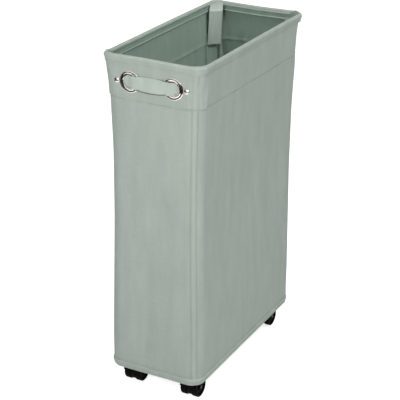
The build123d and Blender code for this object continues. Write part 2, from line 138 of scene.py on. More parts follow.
def power(name, description, default):
    """A lamp's power in watts that a user may change."""
    return FloatProperty(name=name, description=description, default=default, unit="POWER", min=0)


def colour(name, description, default):
    """A colour that a user may change."""
    return FloatVectorProperty(
        name=name, description=description, default=default, subtype="COLOR", size=3, min=0, max=1
    )


class BagSizes(bpy.types.PropertyGroup):
    """Sizes of the cloth bag."""

    cloth: length("Cloth", "Thickness of the cloth", cloth_thickness)
    corner_radius: length("Corner radius", "Radius of the upright corners", 0.023)
    base_half_width: length(
        "Base half width", "Half width of the wall at the base", binding_high.x - cloth_thickness
    )
    base_half_depth: length(
        "Base half depth", "Half depth of the wall at the base", binding_high.y - cloth_thickness
    )
    waist_half_width: length("Waist half width", "Half width of the wall where it is pulled in", 0.0832)
    waist_half_depth: length("Waist half depth", "Half depth of the wall where it is pulled in", 0.1902)
    seam_half_width: length("Seam half width", "Half width of the wall at the hem seam", 0.0858)
    seam_half_depth: length("Seam half depth", "Half depth of the wall at the hem seam", 0.193)
    neck_half_width: length("Neck half width", "Half width of the wall under the rim", wall_high.x)
    neck_half_depth: length(
        "Neck half depth", "Half depth of the wall under the rim", rim_high.y - rim_overhang
    )
    base_rise: length("Base rise", "Height of the upright stretch above the base", 0.07)
    waist_rise: length("Waist rise", "Height above the base where the wall has been pulled in", 0.281)
    flare_drop: length("Flare drop", "Distance from the rim down to where the wall starts to flare", 0.17)
    hem_drop: length("Hem drop", "Distance from the rim down to the hem seam", 0.074)
    ease: length("Ease", "Height over which the wall's bends are rounded", 0.018)
    strip_start: share("Strip start", "Share of a turn before the first corner seam", 0.227)
    strip_end: share("Strip end", "Share of a turn before the second corner seam", 0.52)
    side_sag: length("Side sag", "How far a long wall falls in", 0.003)
    end_sag: length("End sag", "How far a narrow wall falls in", 0.0012)
    fold_depth: length("Fold depth", "Height of the soft upright folds", 0.0016)
    pucker_depth: length("Pucker depth", "Height of the puckers along seams", 0.0009)
    groove_depth: length("Groove depth", "How far a seam draws the cloth in", 0.0007)
    groove_width: length("Groove width", "Half width of the dip along a seam", 0.0015)
    hem_step: length("Hem step", "How far the doubled hem stands out", 0.0005)
    corner_pinch: corner_lengths(
        "Corner pinch", "How far each corner falls in below the rim", (0.003, 0.0105, 0.003, 0.0)
    )
    corner_flare: corner_lengths(
        "Corner flare", "How far each corner is drawn out under the rim", (0.002, 0.0, 0.0015, 0.0032)
    )
    flare_height: length("Flare height", "Height over which a corner is drawn out under the rim", 0.018)
    pinch_drop: length("Pinch drop", "Distance from the rim down to the pinch", 0.042)
    pinch_height: length("Pinch height", "Half height of the pinch", 0.024)


class RimSizes(bpy.types.PropertyGroup):
    """Sizes of the rim casing, the binding, the pockets and the tabs."""

    casing_radius: length("Casing radius", "Radius of the casing round the wire", 0.0040)
    casing_turn: length("Casing turn", "Radius of the casing's corners, at the wire", 0.018)
    casing_skirt: length("Casing skirt", "Height of the casing's skirts below the wire", 0.0102)
    casing_lip: length("Casing lip", "How far the casing's lower edges stand off", 0.0020)
    casing_fullness: length("Casing fullness", "How far the casing's rear side stands out inside", 0.0022)
    casing_ear: corner_lengths(
        "Casing ear", "How far the casing is drawn out at each corner", (0.0, -0.002, -0.0005, 0.0016)
    )
    casing_wave: length("Casing wave", "How far the rim wanders up and down", 0.0006)
    binding_curl: length("Binding curl", "Radius of the binding under the edge", 0.004)
    binding_lap: length("Binding lap", "Width of the binding under the base", 0.012)
    binding_bulge: length("Binding bulge", "How far the binding is rolled out", 0.0014)
    pocket_reach: length("Pocket reach", "Distance from the corner turn to a pocket's seam", 0.0076)
    pocket_flap: length("Pocket flap", "Width of the flap sewn to the wall", 0.007)
    pocket_slope: length("Pocket slope", "How far a pocket's top edge drops beside its tab", 0.05)
    tab_wrap: length("Tab wrap", "Gap between a tab and the casing that it wraps", 0.0006)
    tab_thickness: length("Tab thickness", "Thickness of a folded tab", 0.0018)
    tab_half_width: length("Tab half width", "Half width of a tab", 0.0125)
    tab_shift: length("Tab shift", "How far a tab hangs out of the corner's middle", 0.007)
    tab_lean: length("Tab lean", "How much further out its lower end hangs", 0.003)
    # Strength of the painted shade in the crease behind the rim, where each tab meets the casing's bead.
    tab_crease_painted_shade: FloatVectorProperty(
        name="Tab shade",
        description="Darkness of each tab's crease behind the rim",
        default=(1.0, 5.0, 1.0, 5.0),
        size=len(TURNS),
    )
    tab_crease: length("Tab crease", "Height of the creases where a tab wraps the rim", 0.0010)


class HandleSizes(bpy.types.PropertyGroup):
    """Sizes of the handle."""

    strap_width: length("Strap width", "Width of the strap", 0.024)
    strap_thickness: length("Strap thickness", "Thickness of the folded strap", 0.0016)
    strap_lift: length("Strap lift", "Distance from the wall to the strap's middle", 0.0036)
    strap_bow: length("Strap bow", "How far the strap bows out between the eyelets", 0.0004)
    strap_tilt: length("Strap tilt", "How much closer the strap's upper edge is to the wall", 0.0035)
    # The strap's lower edge is not folded: over this width the strap is darkened with painted shade, which
    # stands for the shadow under its lower edge.
    strap_painted_shade_width: length("Strap edge", "Width of the strap's folded lower edge, which lies in shade", 0.0023)
    strap_back: length("Strap back", "Distance from the wall back to the strap's tail", 0.0036)
    strap_pinch: share("Strap pinch", "Share of its width that the strap loses in an eyelet", 0.1)
    eyelet_bore: length("Eyelet bore", "Radius of the eyelet's bore", 0.0116)
    eyelet_flange: length("Eyelet flange", "Width of the eyelet's flange", 0.0069)
    rivet_radius: length("Rivet radius", "Radius of the rivet's dome", 0.0048)
    rivet_height: length("Rivet height", "Height of the rivet's dome", 0.0022)


class StitchSizes(bpy.types.PropertyGroup):
    """Sizes of the sewing thread."""

    pitch: length("Pitch", "Distance from stitch to stitch", 0.0034)
    stitch: length("Stitch", "Length of one stitch", 0.0027)
    thread_radius: length("Thread radius", "Radius of the thread", 0.00032)
    rows_apart: length("Rows apart", "Distance from a seam's edge to its stitches", 0.0022)
    box_low: length("Box low", "Height above the hem seam of the lower row on a corner strip", 0.020)
    box_high: length("Box high", "Height above the hem seam of the upper row on a corner strip", 0.054)


class ClothLooks(bpy.types.PropertyGroup):
    """Colours and weave of the cloth."""

    cloth_colour: colour("Cloth", "Colour of the woven cloth", (0.395, 0.452, 0.405))
    webbing_colour: colour("Webbing", "Colour of the strap", (0.475, 0.542, 0.486))
    tab_colour: colour("Tab", "Colour of the tabs", (0.58, 0.665, 0.597))
    lining_shift: FloatVectorProperty(
        name="Lining shift",
        description="How much redder, greener and bluer the cloth's inner face is",
        default=(-0.08, 0.05, -0.015),
        size=3,
    )
    thread_colour: colour("Thread", "Colour of the sewing thread", (0.40, 0.46, 0.41))
    hook_colour: colour("Hook tape", "Colour of the hook tape", (0.30, 0.345, 0.31))
    yarn_pitch: length("Yarn pitch", "Distance from yarn to yarn", 0.0006)


class FittingLooks(bpy.types.PropertyGroup):
    """Colours of the metal, plastic and board, and sizes of the casters' webs."""

    web_radius: length("Web radius", "Radius of the web between a caster's wheels", 0.0165)
    web_width: length("Web width", "Width of the web between a caster's wheels", 0.0088)
    web_edge: length("Web edge", "Rounding of the web's edges", 0.0008)
    plate_colour: colour("Plated metal", "Colour of eyelets and rivets", (0.86, 0.82, 0.80))
    steel_colour: colour("Steel", "Colour of wire, ferrule and rods", (0.56, 0.56, 0.57))
    dark_steel_colour: colour("Dark steel", "Colour of kingpins, screws and axles", (0.045, 0.045, 0.047))
    plastic_colour: colour("Plastic", "Colour of caps, housings and wheels", (0.004, 0.004, 0.0042))
    board_colour: colour("Board", "Colour of the floor board", (0.30, 0.22, 0.14))


class StageSettings(bpy.types.PropertyGroup):
    """Camera and light."""

    azimuth: turn_angle("Azimuth", "Camera's turn round the bin", 27.28)
    elevation: turn_angle("Elevation", "Camera's height angle", 22.93)
    roll: turn_angle("Roll", "Camera's roll", 0.80)
    distance: length("Distance", "Distance from the camera to what it looks at", 2.2721)
    target: FloatVectorProperty(
        name="Target",
        description="Point that the camera looks at",
        default=(-0.0118, 0.0, 0.3000),
        subtype="TRANSLATION",
        size=3,
    )
    lens: FloatProperty(name="Lens", description="Focal length in millimetres", default=114.72, min=1)
    floor_size: length("Floor size", "Side of the square floor", 14.0)
    floor_colour: colour("Floor", "Colour of the floor", (0.72, 0.72, 0.72))
    fence_colour: colour("Fence", "Colour of the dark fence that shows in the metal", (0.05, 0.028, 0.023))
    fence_radius: length("Fence radius", "Radius of the dark fence", 0.8)
    fence_height: length("Fence height", "Height of the dark fence", 0.9)
    floor_glow: share("Floor glow", "How far the floor is lifted to white where it is seen", 0.78)
    key_power: power("Key light", "Power of the low lamp in front", 4.6)
    side_power: power("Side light", "Power of the low lamp on the right", 4.8)
    inner_power: power("Inner light", "Power of the lamp that shines into the bag", 22.5)
    top_power: power("Top light", "Power of the lamp straight above", 14.5)
    sky: FloatProperty(name="Sky", description="Strength of the light from all round", default=0.36, min=0)


class Sock:
    """One output of a shader node. Sums on it add Math nodes to its material."""

    def __init__(self, finish, output):
        self.finish = finish
        self.output = output

    def maths(self, operation, first, second):
        return self.finish.node("ShaderNodeMath", {"operation": operation}, {0: first, 1: second})

    def __add__(self, other):
        return self.maths("ADD", self, other)

    def __radd__(self, other):
        return self.maths("ADD", other, self)

    def __sub__(self, other):
        return self.maths("SUBTRACT", self, other)

    def __rsub__(self, other):
        return self.maths("SUBTRACT", other, self)

    def __mul__(self, other):
        return self.maths("MULTIPLY", self, other)

    def __rmul__(self, other):
        return self.maths("MULTIPLY", other, self)


class Finish:
    """A material made of nodes."""

    def __init__(self, tree):
        self.tree = tree
        tree.nodes.clear()

    def node(self, kind, settings=None, sockets=None, output=0):
        """Add a node, set it up, then fill or link its sockets. Returns one of its outputs."""
        made = self.tree.nodes.new(kind)
        for key, value in (settings or {}).items():
            setattr(made, key, value)
        for key, value in (sockets or {}).items():
            if isinstance(value, Sock):
                self.tree.links.new(value.output, made.inputs[key])
            else:
                made.inputs[key].default_value = value
        return Sock(self, made.outputs[output]) if made.outputs else None

    def noise(self, vector, scale, detail=2.0):
        """Noise from 0 to 1."""
        return self.node("ShaderNodeTexNoise", None, {"Vector": vector, "Scale": scale, "Detail": detail})

    def place(self):
        """The place on the object, in metres."""
        return self.node("ShaderNodeTexCoord", None, None, "Object")

    def mark(self, name):
        """A mark that the mesh carries at its points."""
        return self.node("ShaderNodeAttribute", {"attribute_name": name}, None, "Fac")

    def seen(self):
        """1 for rays from the camera, mirrored ones and ones through clear pieces, and 0 for the others."""
        rays = ("Is Camera Ray", "Is Glossy Ray", "Is Transmission Ray")
        direct, glossy, clear = (self.node("ShaderNodeLightPath", None, None, ray) for ray in rays)
        return direct + glossy + clear

    def tinted(self, base, factor, shifts=(1, 1, 1)):
        """A colour made lighter or darker by a factor that varies, and shifted in red, green and blue."""
        shades = {channel: factor * shift for channel, shift in enumerate(shifts)}
        sockets = {0: 1.0, 6: (*base, 1), 7: self.node("ShaderNodeCombineColor", None, shades)}
        return self.node("ShaderNodeMix", {"data_type": "RGBA", "blend_type": "MULTIPLY"}, sockets, 2)

    def close(self, sockets, bump, depth, constants=None):
        """Finish the material with one principled shader, a bump of that depth and fixed values."""
        normal = self.node("ShaderNodeBump", None, {"Height": bump, "Distance": depth, "Strength": 1.0})
        filled = {**(constants or {}), **sockets, "Normal": normal}
        shader = self.node("ShaderNodeBsdfPrincipled", None, filled)
        self.node("ShaderNodeOutputMaterial", None, {"Surface": shader})


def new_finish(name):
    """A new material and the Finish that fills it."""
    material = bpy.data.materials.new(name)
    material.use_nodes = True
    return material, Finish(material.node_tree)


def woven_finish(name, base, looks):
    """Plain-woven polyester: yarns over and under, streaky yarn colour and a soft mottle."""
    material, finish = new_finish(name)
    flat = finish.node("ShaderNodeUVMap", {"uv_map": "UVMap"})
    across, along = (finish.node("ShaderNodeSeparateXYZ", None, {"Vector": flat}, axis) for axis in "XY")
    turns = 2 * pi / looks.yarn_pitch
    warp = finish.node("ShaderNodeMath", {"operation": "SINE"}, {0: across * turns})
    weft = finish.node("ShaderNodeMath", {"operation": "SINE"}, {0: along * turns})

    def yarns(fine, long, shift):
        """Streaks that run up the cloth and across it, from -1 to 1."""
        upright = finish.node("ShaderNodeCombineXYZ", None, {0: across * fine, 1: along * long, 2: shift})
        level = finish.node("ShaderNodeCombineXYZ", None, {0: across * long, 1: along * fine, 2: -shift})
        return finish.noise(upright, scale=1.0) + finish.noise(level, scale=1.0) - 1

    streaks = yarns(fine=1500, long=22, shift=3.0)
    slubs = yarns(fine=430, long=34, shift=9.0)
    place = finish.place()
    upright_draw = (1.0, 1.0, 0.25)
    drawn = finish.node("ShaderNodeVectorMath", {"operation": "MULTIPLY"}, {0: place, 1: upright_draw})
    mottle = finish.noise(drawn, scale=46.0, detail=4.0) - 0.5
    specks = finish.noise(place, scale=330.0) - 0.5
    lined = finish.mark("lined")
    shifts = [1 + shift * lined for shift in looks.lining_shift]
    # The seam mark darkens the cloth: along the wall's seams it is partly painted shade of their dips and
    # partly their darker needle lines; under the strap's lower edge it is painted shade; on the tabs it
    # darkens the wrap and paints shade in the crease behind the rim.
    tone = 0.99 + 0.06 * streaks + 0.09 * slubs + 0.25 * mottle + 0.10 * specks - 0.12 * finish.mark("seam")
    finish.close(
        {"Base Color": finish.tinted(base, tone, shifts), "Roughness": 0.91 - 0.12 * mottle},
        bump=warp * weft * 0.5 + streaks * 0.6 + slubs * 0.8,
        depth=0.00015,
        constants={"Sheen Weight": 0.08, "Sheen Roughness": 0.45, "Specular IOR Level": 0.2},
    )
    return material


def thread_finish(name, base):
    """Twisted sewing thread."""
    material, finish = new_finish(name)
    twist = finish.noise(finish.place(), scale=2600.0)
    finish.close(
        {"Base Color": finish.tinted(base, 0.80 + 0.4 * twist), "Roughness": 0.9 - 0.2 * twist},
        bump=twist,
        depth=0.00008,
        constants={"Sheen Weight": 0.1},
    )
    return material


def metal_finish(name, base, roughness, scratch):
    """Metal with fine scratches and a little dullness in patches."""
    material, finish = new_finish(name)
    place = finish.place()
    patches = finish.noise(place, scale=90.0, detail=3.0)
    finish.close(
        {"Base Color": finish.tinted(base, 0.94 + 0.1 * patches), "Roughness": roughness + scratch * patches},
        bump=finish.noise(place, scale=2400.0),
        depth=0.000004,
        constants={"Metallic": 1.0},
    )
    return material


def plastic_finish(name, base, roughness):
    """Moulded matt plastic with a fine grain and scuffed patches."""
    material, finish = new_finish(name)
    place = finish.place()
    scuffs = finish.noise(place, scale=70.0, detail=4.0)
    finish.close(
        {"Base Color": finish.tinted(base, 0.7 + 0.6 * scuffs), "Roughness": roughness + 0.25 * scuffs},
        bump=finish.noise(place, scale=1500.0, detail=3.0),
        depth=0.00005,
        constants={"Specular IOR Level": 0.03},
    )
    return material


def board_finish(name, base):
    """Pressed board: short fibres in a warm brown."""
    material, finish = new_finish(name)
    place = finish.place()
    fibres = finish.noise(place, scale=420.0, detail=5.0)
    clouds = finish.noise(place, scale=24.0, detail=3.0)
    tone = 0.65 + 0.45 * fibres + 0.25 * clouds
    finish.close(
        {"Base Color": finish.tinted(base, tone), "Roughness": 0.75 + 0.15 * clouds},
        bump=fibres,
        depth=0.0002,
    )
    return material


def finish_named(name):
    """A finish by name, made the first time that it is asked for."""
    found = bpy.data.materials.get(name)
    if found:
        return found
    cloth = bpy.context.scene.cloth_looks
    looks = bpy.context.scene.fitting_looks
    makers = {
        "bag_weave": lambda: woven_finish(name, cloth.cloth_colour, cloth),
        "strap_weave": lambda: woven_finish(name, cloth.webbing_colour, cloth),
        "tab_weave": lambda: woven_finish(name, cloth.tab_colour, cloth),
        "sewing_thread": lambda: thread_finish(name, cloth.thread_colour),
        "hook_tape": lambda: thread_finish(name, cloth.hook_colour),
        "polished_plate": lambda: metal_finish(name, looks.plate_colour, roughness=0.06, scratch=0.10),
        "satin_plate": lambda: metal_finish(name, looks.plate_colour, roughness=0.30, scratch=0.10),
        "drawn_steel": lambda: metal_finish(name, looks.steel_colour, roughness=0.25, scratch=0.25),
        "dark_steel": lambda: metal_finish(name, looks.dark_steel_colour, roughness=0.45, scratch=0.2),
        "caster_black": lambda: plastic_finish(name, looks.plastic_colour, roughness=0.42),
        "wheel_black": lambda: plastic_finish(name, looks.plastic_colour, roughness=0.55),
        "pressed_board": lambda: board_finish(name, looks.board_colour),
    }
    return makers[name]()


def select_only(piece):
    """Make a piece the one selected and active object."""
    bpy.ops.object.select_all(action="DESELECT")
    piece.select_set(True)
    bpy.context.view_layer.objects.active = piece


def named_last(name):
    """The piece that was added last, with its name on its mesh too."""
    piece = bpy.context.object
    piece.name = name
    piece.data.name = name
    return piece


def apply_modifier(piece, kind, **settings):
    """Add a modifier, set it up and apply it."""
    select_only(piece)
    modifier = piece.modifiers.new(kind.lower(), kind)
    for key, value in settings.items():
        setattr(modifier, key, value)
    bpy.ops.object.modifier_apply(modifier=modifier.name)


def dress(piece, finish):
    """Give a piece its finish and its material slot, with smooth shading up to sharp edges."""
    sharp_edge = radians(40)
    piece.data.materials.clear()
    piece.data.materials.append(finish_named(finish))
    select_only(piece)
    bpy.ops.object.shade_smooth_by_angle(angle=sharp_edge)
    return piece


def vertex_places(mesh):
    """The places of a mesh's vertices as rows of three."""
    places = np.empty(3 * len(mesh.vertices))
    mesh.vertices.foreach_get("co", places)
    return places.reshape(-1, 3)


def cloth_sheet(name, columns, rows, place, thickness, joined=False, shade=None, lined=False):
    """A sheet of cloth: a grid whose vertices are placed by a function of column and row values.

    Its own map is laid out in metres, so that the weave keeps its size. A second function may
    say where the sheet is darkened, mostly with painted shade along seams, in creases and under
    edges, and a third one where it shows its lining. A
    sheet that is lined on its inner face alone says True instead.
    """
    cells_across, cells_along = len(columns) - 1, len(rows) - 1
    bpy.ops.object.select_all(action="DESELECT")
    bpy.ops.mesh.primitive_grid_add(x_subdivisions=cells_across, y_subdivisions=cells_along, size=1)
    piece = named_last(name)
    mesh = piece.data
    start = vertex_places(mesh) + 0.5
    column = np.rint(start[:, 0] * cells_across).astype(int)
    row = np.rint(start[:, 1] * cells_along).astype(int)
    points = place(columns[column], rows[row])
    mesh.vertices.foreach_set("co", points.ravel())

    grid = np.empty((len(columns), len(rows), 3))
    grid[column, row] = points
    steps_across = np.linalg.norm(np.diff(grid, axis=0), axis=2).mean(1)
    steps_along = np.linalg.norm(np.diff(grid, axis=1), axis=2).mean(0)
    flat_across = np.concatenate([[0], np.cumsum(steps_across)])
    flat_along = np.concatenate([[0], np.cumsum(steps_along)])
    corners = np.empty(len(mesh.loops), int)
    mesh.loops.foreach_get("vertex_index", corners)
    layout = np.stack([flat_across[column[corners]], flat_along[row[corners]]], -1)
    mesh.uv_layers["UVMap"].data.foreach_set("uv", layout.ravel())
    # The seam mark holds the darkening that the shade function gives, most of it painted shade.
    marks = {"seam": shade, "lined": lined if callable(lined) else None}
    for mark, share_of in marks.items():
        if share_of:
            shares = mesh.attributes.new(mark, "FLOAT", "POINT")
            shares.data.foreach_set("value", share_of(columns[column], rows[row]))
    mesh.update()
    if joined:
        join_gap = 0.00001
        select_only(piece)
        bpy.ops.object.mode_set(mode="EDIT")
        bpy.ops.mesh.select_all(action="SELECT")
        bpy.ops.mesh.remove_doubles(threshold=join_gap)
        bpy.ops.object.mode_set(mode="OBJECT")
    piece["flat"] = (float(flat_across[-1]), float(flat_along[-1]))
    outer_count = len(mesh.vertices)
    apply_modifier(piece, "SOLIDIFY", thickness=thickness, offset=-1.0, use_even_offset=False)
    if lined is True:
        inner_face = np.arange(len(mesh.vertices)) >= outer_count
        mesh.attributes.new("lined", "FLOAT", "POINT").data.foreach_set("value", inner_face.astype(float))
    return piece


def declare_sheet(piece):
    """Take off the laid-out size that a sheet carried while it was made."""
    del piece["flat"]


def turned_ring(name, profile, segments):
    """A turned piece: a circle drawn out ring by ring along (radius, height) points, round Z."""
    join_gap = 0.000002
    bpy.ops.object.select_all(action="DESELECT")
    first_radius, first_height = profile[0]
    foot = (0, 0, first_height)
    bpy.ops.mesh.primitive_circle_add(vertices=segments, radius=first_radius, location=foot)
    piece = named_last(name)
    bpy.ops.object.transform_apply(location=True, rotation=True, scale=True)
    bpy.ops.object.mode_set(mode="EDIT")
    bpy.ops.mesh.select_all(action="SELECT")
    radius, height = first_radius, first_height
    for next_radius, next_height in profile[1:]:
        move = {"value": (0, 0, next_height - height)}
        bpy.ops.mesh.extrude_region_move(TRANSFORM_OT_translate=move)
        ratio = next_radius / radius
        bpy.ops.transform.resize(value=(ratio, ratio, 1), center_override=(0, 0, next_height))
        radius, height = next_radius, next_height
    bpy.ops.mesh.select_all(action="SELECT")
    bpy.ops.mesh.remove_doubles(threshold=join_gap)
    bpy.ops.mesh.normals_make_consistent(inside=False)
    bpy.ops.object.mode_set(mode="OBJECT")
    return piece


def set_in_place(piece, matrix):
    """Move a piece's mesh by a matrix and leave its object at the origin."""
    piece.matrix_world = matrix
    select_only(piece)
    bpy.ops.object.transform_apply(location=True, rotation=True, scale=True)


def copies(piece, name, matrices):
    """One mesh of several copies of a modelled piece, which is used up."""
    made = []
    for matrix in matrices:
        copy = piece.copy()
        copy.data = piece.data.copy()
        bpy.context.scene.collection.objects.link(copy)
        set_in_place(copy, matrix)
        made.append(copy)
    bpy.data.objects.remove(piece)
    bpy.ops.object.select_all(action="DESELECT")
    for copy in made:
        copy.select_set(True)
    bpy.context.view_layer.objects.active = made[0]
    bpy.ops.object.join()
    made[0].name = name
    made[0].data.name = name
    return made[0]


def soft_noise(x, y, z):
    """Smooth noise from -1 to 1 at points in noise units."""
    values = [noise.noise(point) for point in zip(x.ravel(), y.ravel(), z.ravel())]
    return np.array(values).reshape(x.shape)


def ripples(x, y, height, waves, shift=(0, 0, 0)):
    """Smooth noise from -1 to 1 on the cloth, with its own waves across it and up it."""
    across, up = waves
    return soft_noise(across * x + shift[0], across * y + shift[1], up * height + shift[2])


def slow_waves(station, waves):
    """A sum of slow sine waves along the walk."""
    return sum(size * np.sin(speed * station + start) for size, speed, start in waves)


def smooth_step(part):
    """A part from 0 to 1 that leaves and arrives softly."""
    return part * part * (3 - 2 * part)


def eased(height, heights, values):
    """Values between stations of height, with the bends rounded off."""
    ease = bpy.context.scene.bag_sizes.ease
    samples = 9
    offsets = np.linspace(-ease, ease, samples)
    return np.mean([np.interp(height + offset, heights, values) for offset in offsets], axis=0)


def ring_place(station, half_x, half_y, radius):
    """Points and outward normals of a rounded rectangle at stations of the walk."""
    leg = np.floor(station).astype(int) % WALK
    part = station - np.floor(station)
    side = leg // 2
    turning = leg % 2
    before = TURN_SIGNS[side - 1]
    after = TURN_SIGNS[side]
    signs = before + (after - before) * np.where(turning, 1.0, part)[..., None]
    angle = (side - 1 + turning * part) * (pi / 2)
    normal = np.stack([np.cos(angle), np.sin(angle)], -1)
    centre = signs * np.stack([half_x - radius, half_y - radius], -1)
    return centre + np.asarray(radius)[..., None] * normal, normal


def neck_height():
    """Height where the wall ends, behind the lower edge of the rim casing."""
    rim = bpy.context.scene.rim_sizes
    lap = 0.0008
    return rim_top - rim.casing_radius - rim.casing_skirt + lap


def seam_height(station):
    """Height of the hem seam, which wanders a little round the bag."""
    bag = bpy.context.scene.bag_sizes
    right_start, right_end, rear_middle = 2, 3, 4.5
    right_slope, rear_rise = 0.003, 0.005
    on_right = np.clip(right_end - station, 0, 1) * (station > right_start)
    on_rear = np.clip(2 - 2 * np.abs(station - rear_middle), 0, 1)
    wander = slow_waves(station, SEAM_WAVES)
    return rim_top - bag.hem_drop + wander + right_slope * on_right + rear_rise * on_rear


def bag_halves(height):
    """Half width and half depth of the wall's outer face at a height."""
    bag = bpy.context.scene.bag_sizes
    heights = (
        bag_bottom,
        bag_bottom + bag.base_rise,
        bag_bottom + bag.waist_rise,
        rim_top - bag.flare_drop,
        rim_top - bag.hem_drop,
        wall_top,
    )
    widths = (
        bag.base_half_width,
        bag.base_half_width,
        bag.waist_half_width,
        bag.waist_half_width,
        bag.seam_half_width,
        bag.neck_half_width,
    )
    depths = (
        bag.base_half_depth,
        bag.base_half_depth,
        bag.waist_half_depth,
        bag.waist_half_depth,
        bag.seam_half_depth,
        bag.neck_half_depth,
    )
    return eased(height, heights, widths), eased(height, heights, depths)


def seam_bell(gap):
    """A value that is 1 on a seam and falls to 0 beside it."""
    return np.exp(-((gap / bpy.context.scene.bag_sizes.groove_width) ** 2))


def strip_gap(part):
    """Distance from a part of a turn to the nearer seam of its corner strip."""
    bag = bpy.context.scene.bag_sizes
    turn_length = bag.corner_radius * pi / 2
    return np.minimum(np.abs(part - bag.strip_start), np.abs(part - bag.strip_end)) * turn_length


def sag_and_folds(x, y, leg, part, height, seam):
    """How far the cloth of a run sags in, and how far its soft upright folds stand out."""
    bag = bpy.context.scene.bag_sizes
    narrow_share, fine_share = 0.6, 0.25
    least_fold = 0.25
    span = np.where(leg % 2 == 1, 0.0, 4 * part * (1 - part))
    rise = np.clip((height - binding_high.z) / (seam - binding_high.z), 0, 1)
    belly = np.sin(pi * rise)
    sag = -np.where(leg % 4 == 2, bag.side_sag, bag.end_sag) * span * belly
    folds = ripples(x, y, height, BROAD_FOLDS)
    folds = folds + narrow_share * ripples(x, y, height, NARROW_FOLDS, shift=(7, 0, 0))
    folds = folds + fine_share * ripples(x, y, height, FINE_FOLDS, shift=(0, 3, 0))
    return sag, bag.fold_depth * folds * np.sqrt(span) * (least_fold + (1 - least_fold) * belly)


def seam_puckers(x, y, turning, height, from_seam):
    """How far the cloth puckers along the hem seam, the rim and the base, most of all on the turns."""
    bag = bpy.context.scene.bag_sizes
    reach, base_reach = 0.010, 0.014
    neck_run, base_run = 0.4, 0.3
    hem_turn, neck_turn, base_turn = 0.8, 0.8, 1.2
    near_seam = np.exp(-np.abs(from_seam) / reach) + hem_turn * turning * (from_seam > 0)
    near_neck = np.exp(-np.abs(height - neck_height()) / reach) * (neck_run + neck_turn * turning)
    near_base = np.exp(-np.abs(height - binding_high.z) / base_reach) * (base_run + base_turn * turning)
    return bag.pucker_depth * ripples(x, y, height, SEAM_PUCKERS) * (near_seam + near_neck + near_base)


def corner_draw(leg, part, height):
    """How far a corner falls in below the rim and is drawn out right under it."""
    bag = bpy.context.scene.bag_sizes
    corner = (leg // 2).astype(int)
    bend = np.where(leg % 2 == 1, np.sin(pi * part), 0)
    at_pinch = np.exp(-(((height - rim_top + bag.pinch_drop) / bag.pinch_height) ** 2))
    at_flare = np.exp((height - neck_height()) / bag.flare_height)
    pinch = -np.array(bag.corner_pinch)[corner] * at_pinch * bend
    return pinch + np.array(bag.corner_flare)[corner] * at_flare * bend**2


def drape(place, station, height):
    """How far the cloth stands out from its plain form: sag, folds, seam dips and puckers."""
    bag = bpy.context.scene.bag_sizes
    ridge_height = 0.0009
    hem_filling = 0.5
    calm_half_width, calm_half_height = 0.078, 0.025
    leg = np.floor(station) % WALK
    part = station - np.floor(station)
    turning = leg % 2 == 1
    x, y = place[..., 0], place[..., 1]
    seam = seam_height(station % WALK)
    from_seam = height - seam
    on_hem = np.clip(from_seam / bag.groove_width, 0, 1)
    sag, folds = sag_and_folds(x, y, leg, part, height, seam)
    groove = -bag.groove_depth * seam_bell(from_seam)
    hem = bag.hem_step * on_hem
    puckers = seam_puckers(x, y, turning, height, from_seam)
    strip_groove = -bag.groove_depth * seam_bell(strip_gap(part)) * turning * (1 - hem_filling * on_hem)
    on_strip = np.clip((part - bag.strip_start) / (bag.strip_end - bag.strip_start), 0, 1)
    ridge = ridge_height * 4 * on_strip * (1 - on_strip) * turning
    near_handle = (x / calm_half_width) ** 4 + ((height - handle_height) / calm_half_height) ** 4
    calm = 1 - np.exp(-near_handle) * (leg == 0)
    loose = calm * (folds + groove + hem + puckers)
    return sag + loose + strip_groove + ridge + corner_draw(leg, part, height)


def seam_painted_shade(station, height):
    """How close the wall is to a seam, from 0 away from it to 1 on it, which darkens it: partly painted shade
    of the seam's dip and of the binding's top edge, partly the seam's darker needle line.
    """
    bag = bpy.context.scene.bag_sizes
    hem_filling = 0.65
    break_waves, break_drift = 11, 0.3
    usual, variation, faintest = 0.6, 0.9, 0.15
    turning = np.floor(station) % 2
    from_seam = height - rim_top + bag.hem_drop
    on_hem = np.clip(from_seam / bag.groove_width, 0, 1)
    breaks = soft_noise(break_waves * station, break_drift * station, 0 * station)
    on_seam = seam_bell(from_seam) * np.clip(usual + variation * breaks, faintest, 1)
    on_strip = seam_bell(strip_gap(station - np.floor(station))) * turning * (1 - hem_filling * on_hem)
    return np.maximum.reduce([on_strip, on_seam, seam_bell(height - binding_high.z)])


def wall_points(station, height, depth):
    """Points of the bag's cloth at stations and heights, some depth inside its outer face."""
    bag = bpy.context.scene.bag_sizes
    nominal = rim_top - bag.hem_drop
    nearness = np.clip(1 - np.abs(height - nominal) / (wall_top - nominal), 0, 1)
    height = height + (seam_height(station % WALK) - nominal) * nearness
    half_x, half_y = bag_halves(height)
    place, normal = ring_place(station, half_x, half_y, np.full_like(height, bag.corner_radius))
    place = place + normal * (drape(place, station, height) - depth)[..., None]
    return np.concatenate([place, height[..., None]], -1)


def run_columns(start, end, step):
    """Stations from start to end, spaced on their own runs and turns."""
    return np.linspace(start, end, max(2, int(np.ceil((end - start) / step)) + 1))


def wall_rows(low, high):
    """Heights for a wall, close together at the hem seam."""
    seam = rim_top - bpy.context.scene.bag_sizes.hem_drop
    band = 0.008
    step_below, step_beside, step_above = 0.0042, 0.0009, 0.0026
    below = np.arange(low, seam - band, step_below)
    beside = np.arange(max(low, seam - band), seam + band, step_beside)
    above = np.arange(seam + band, high, step_above)
    return np.concatenate([below, beside, above, [high]])


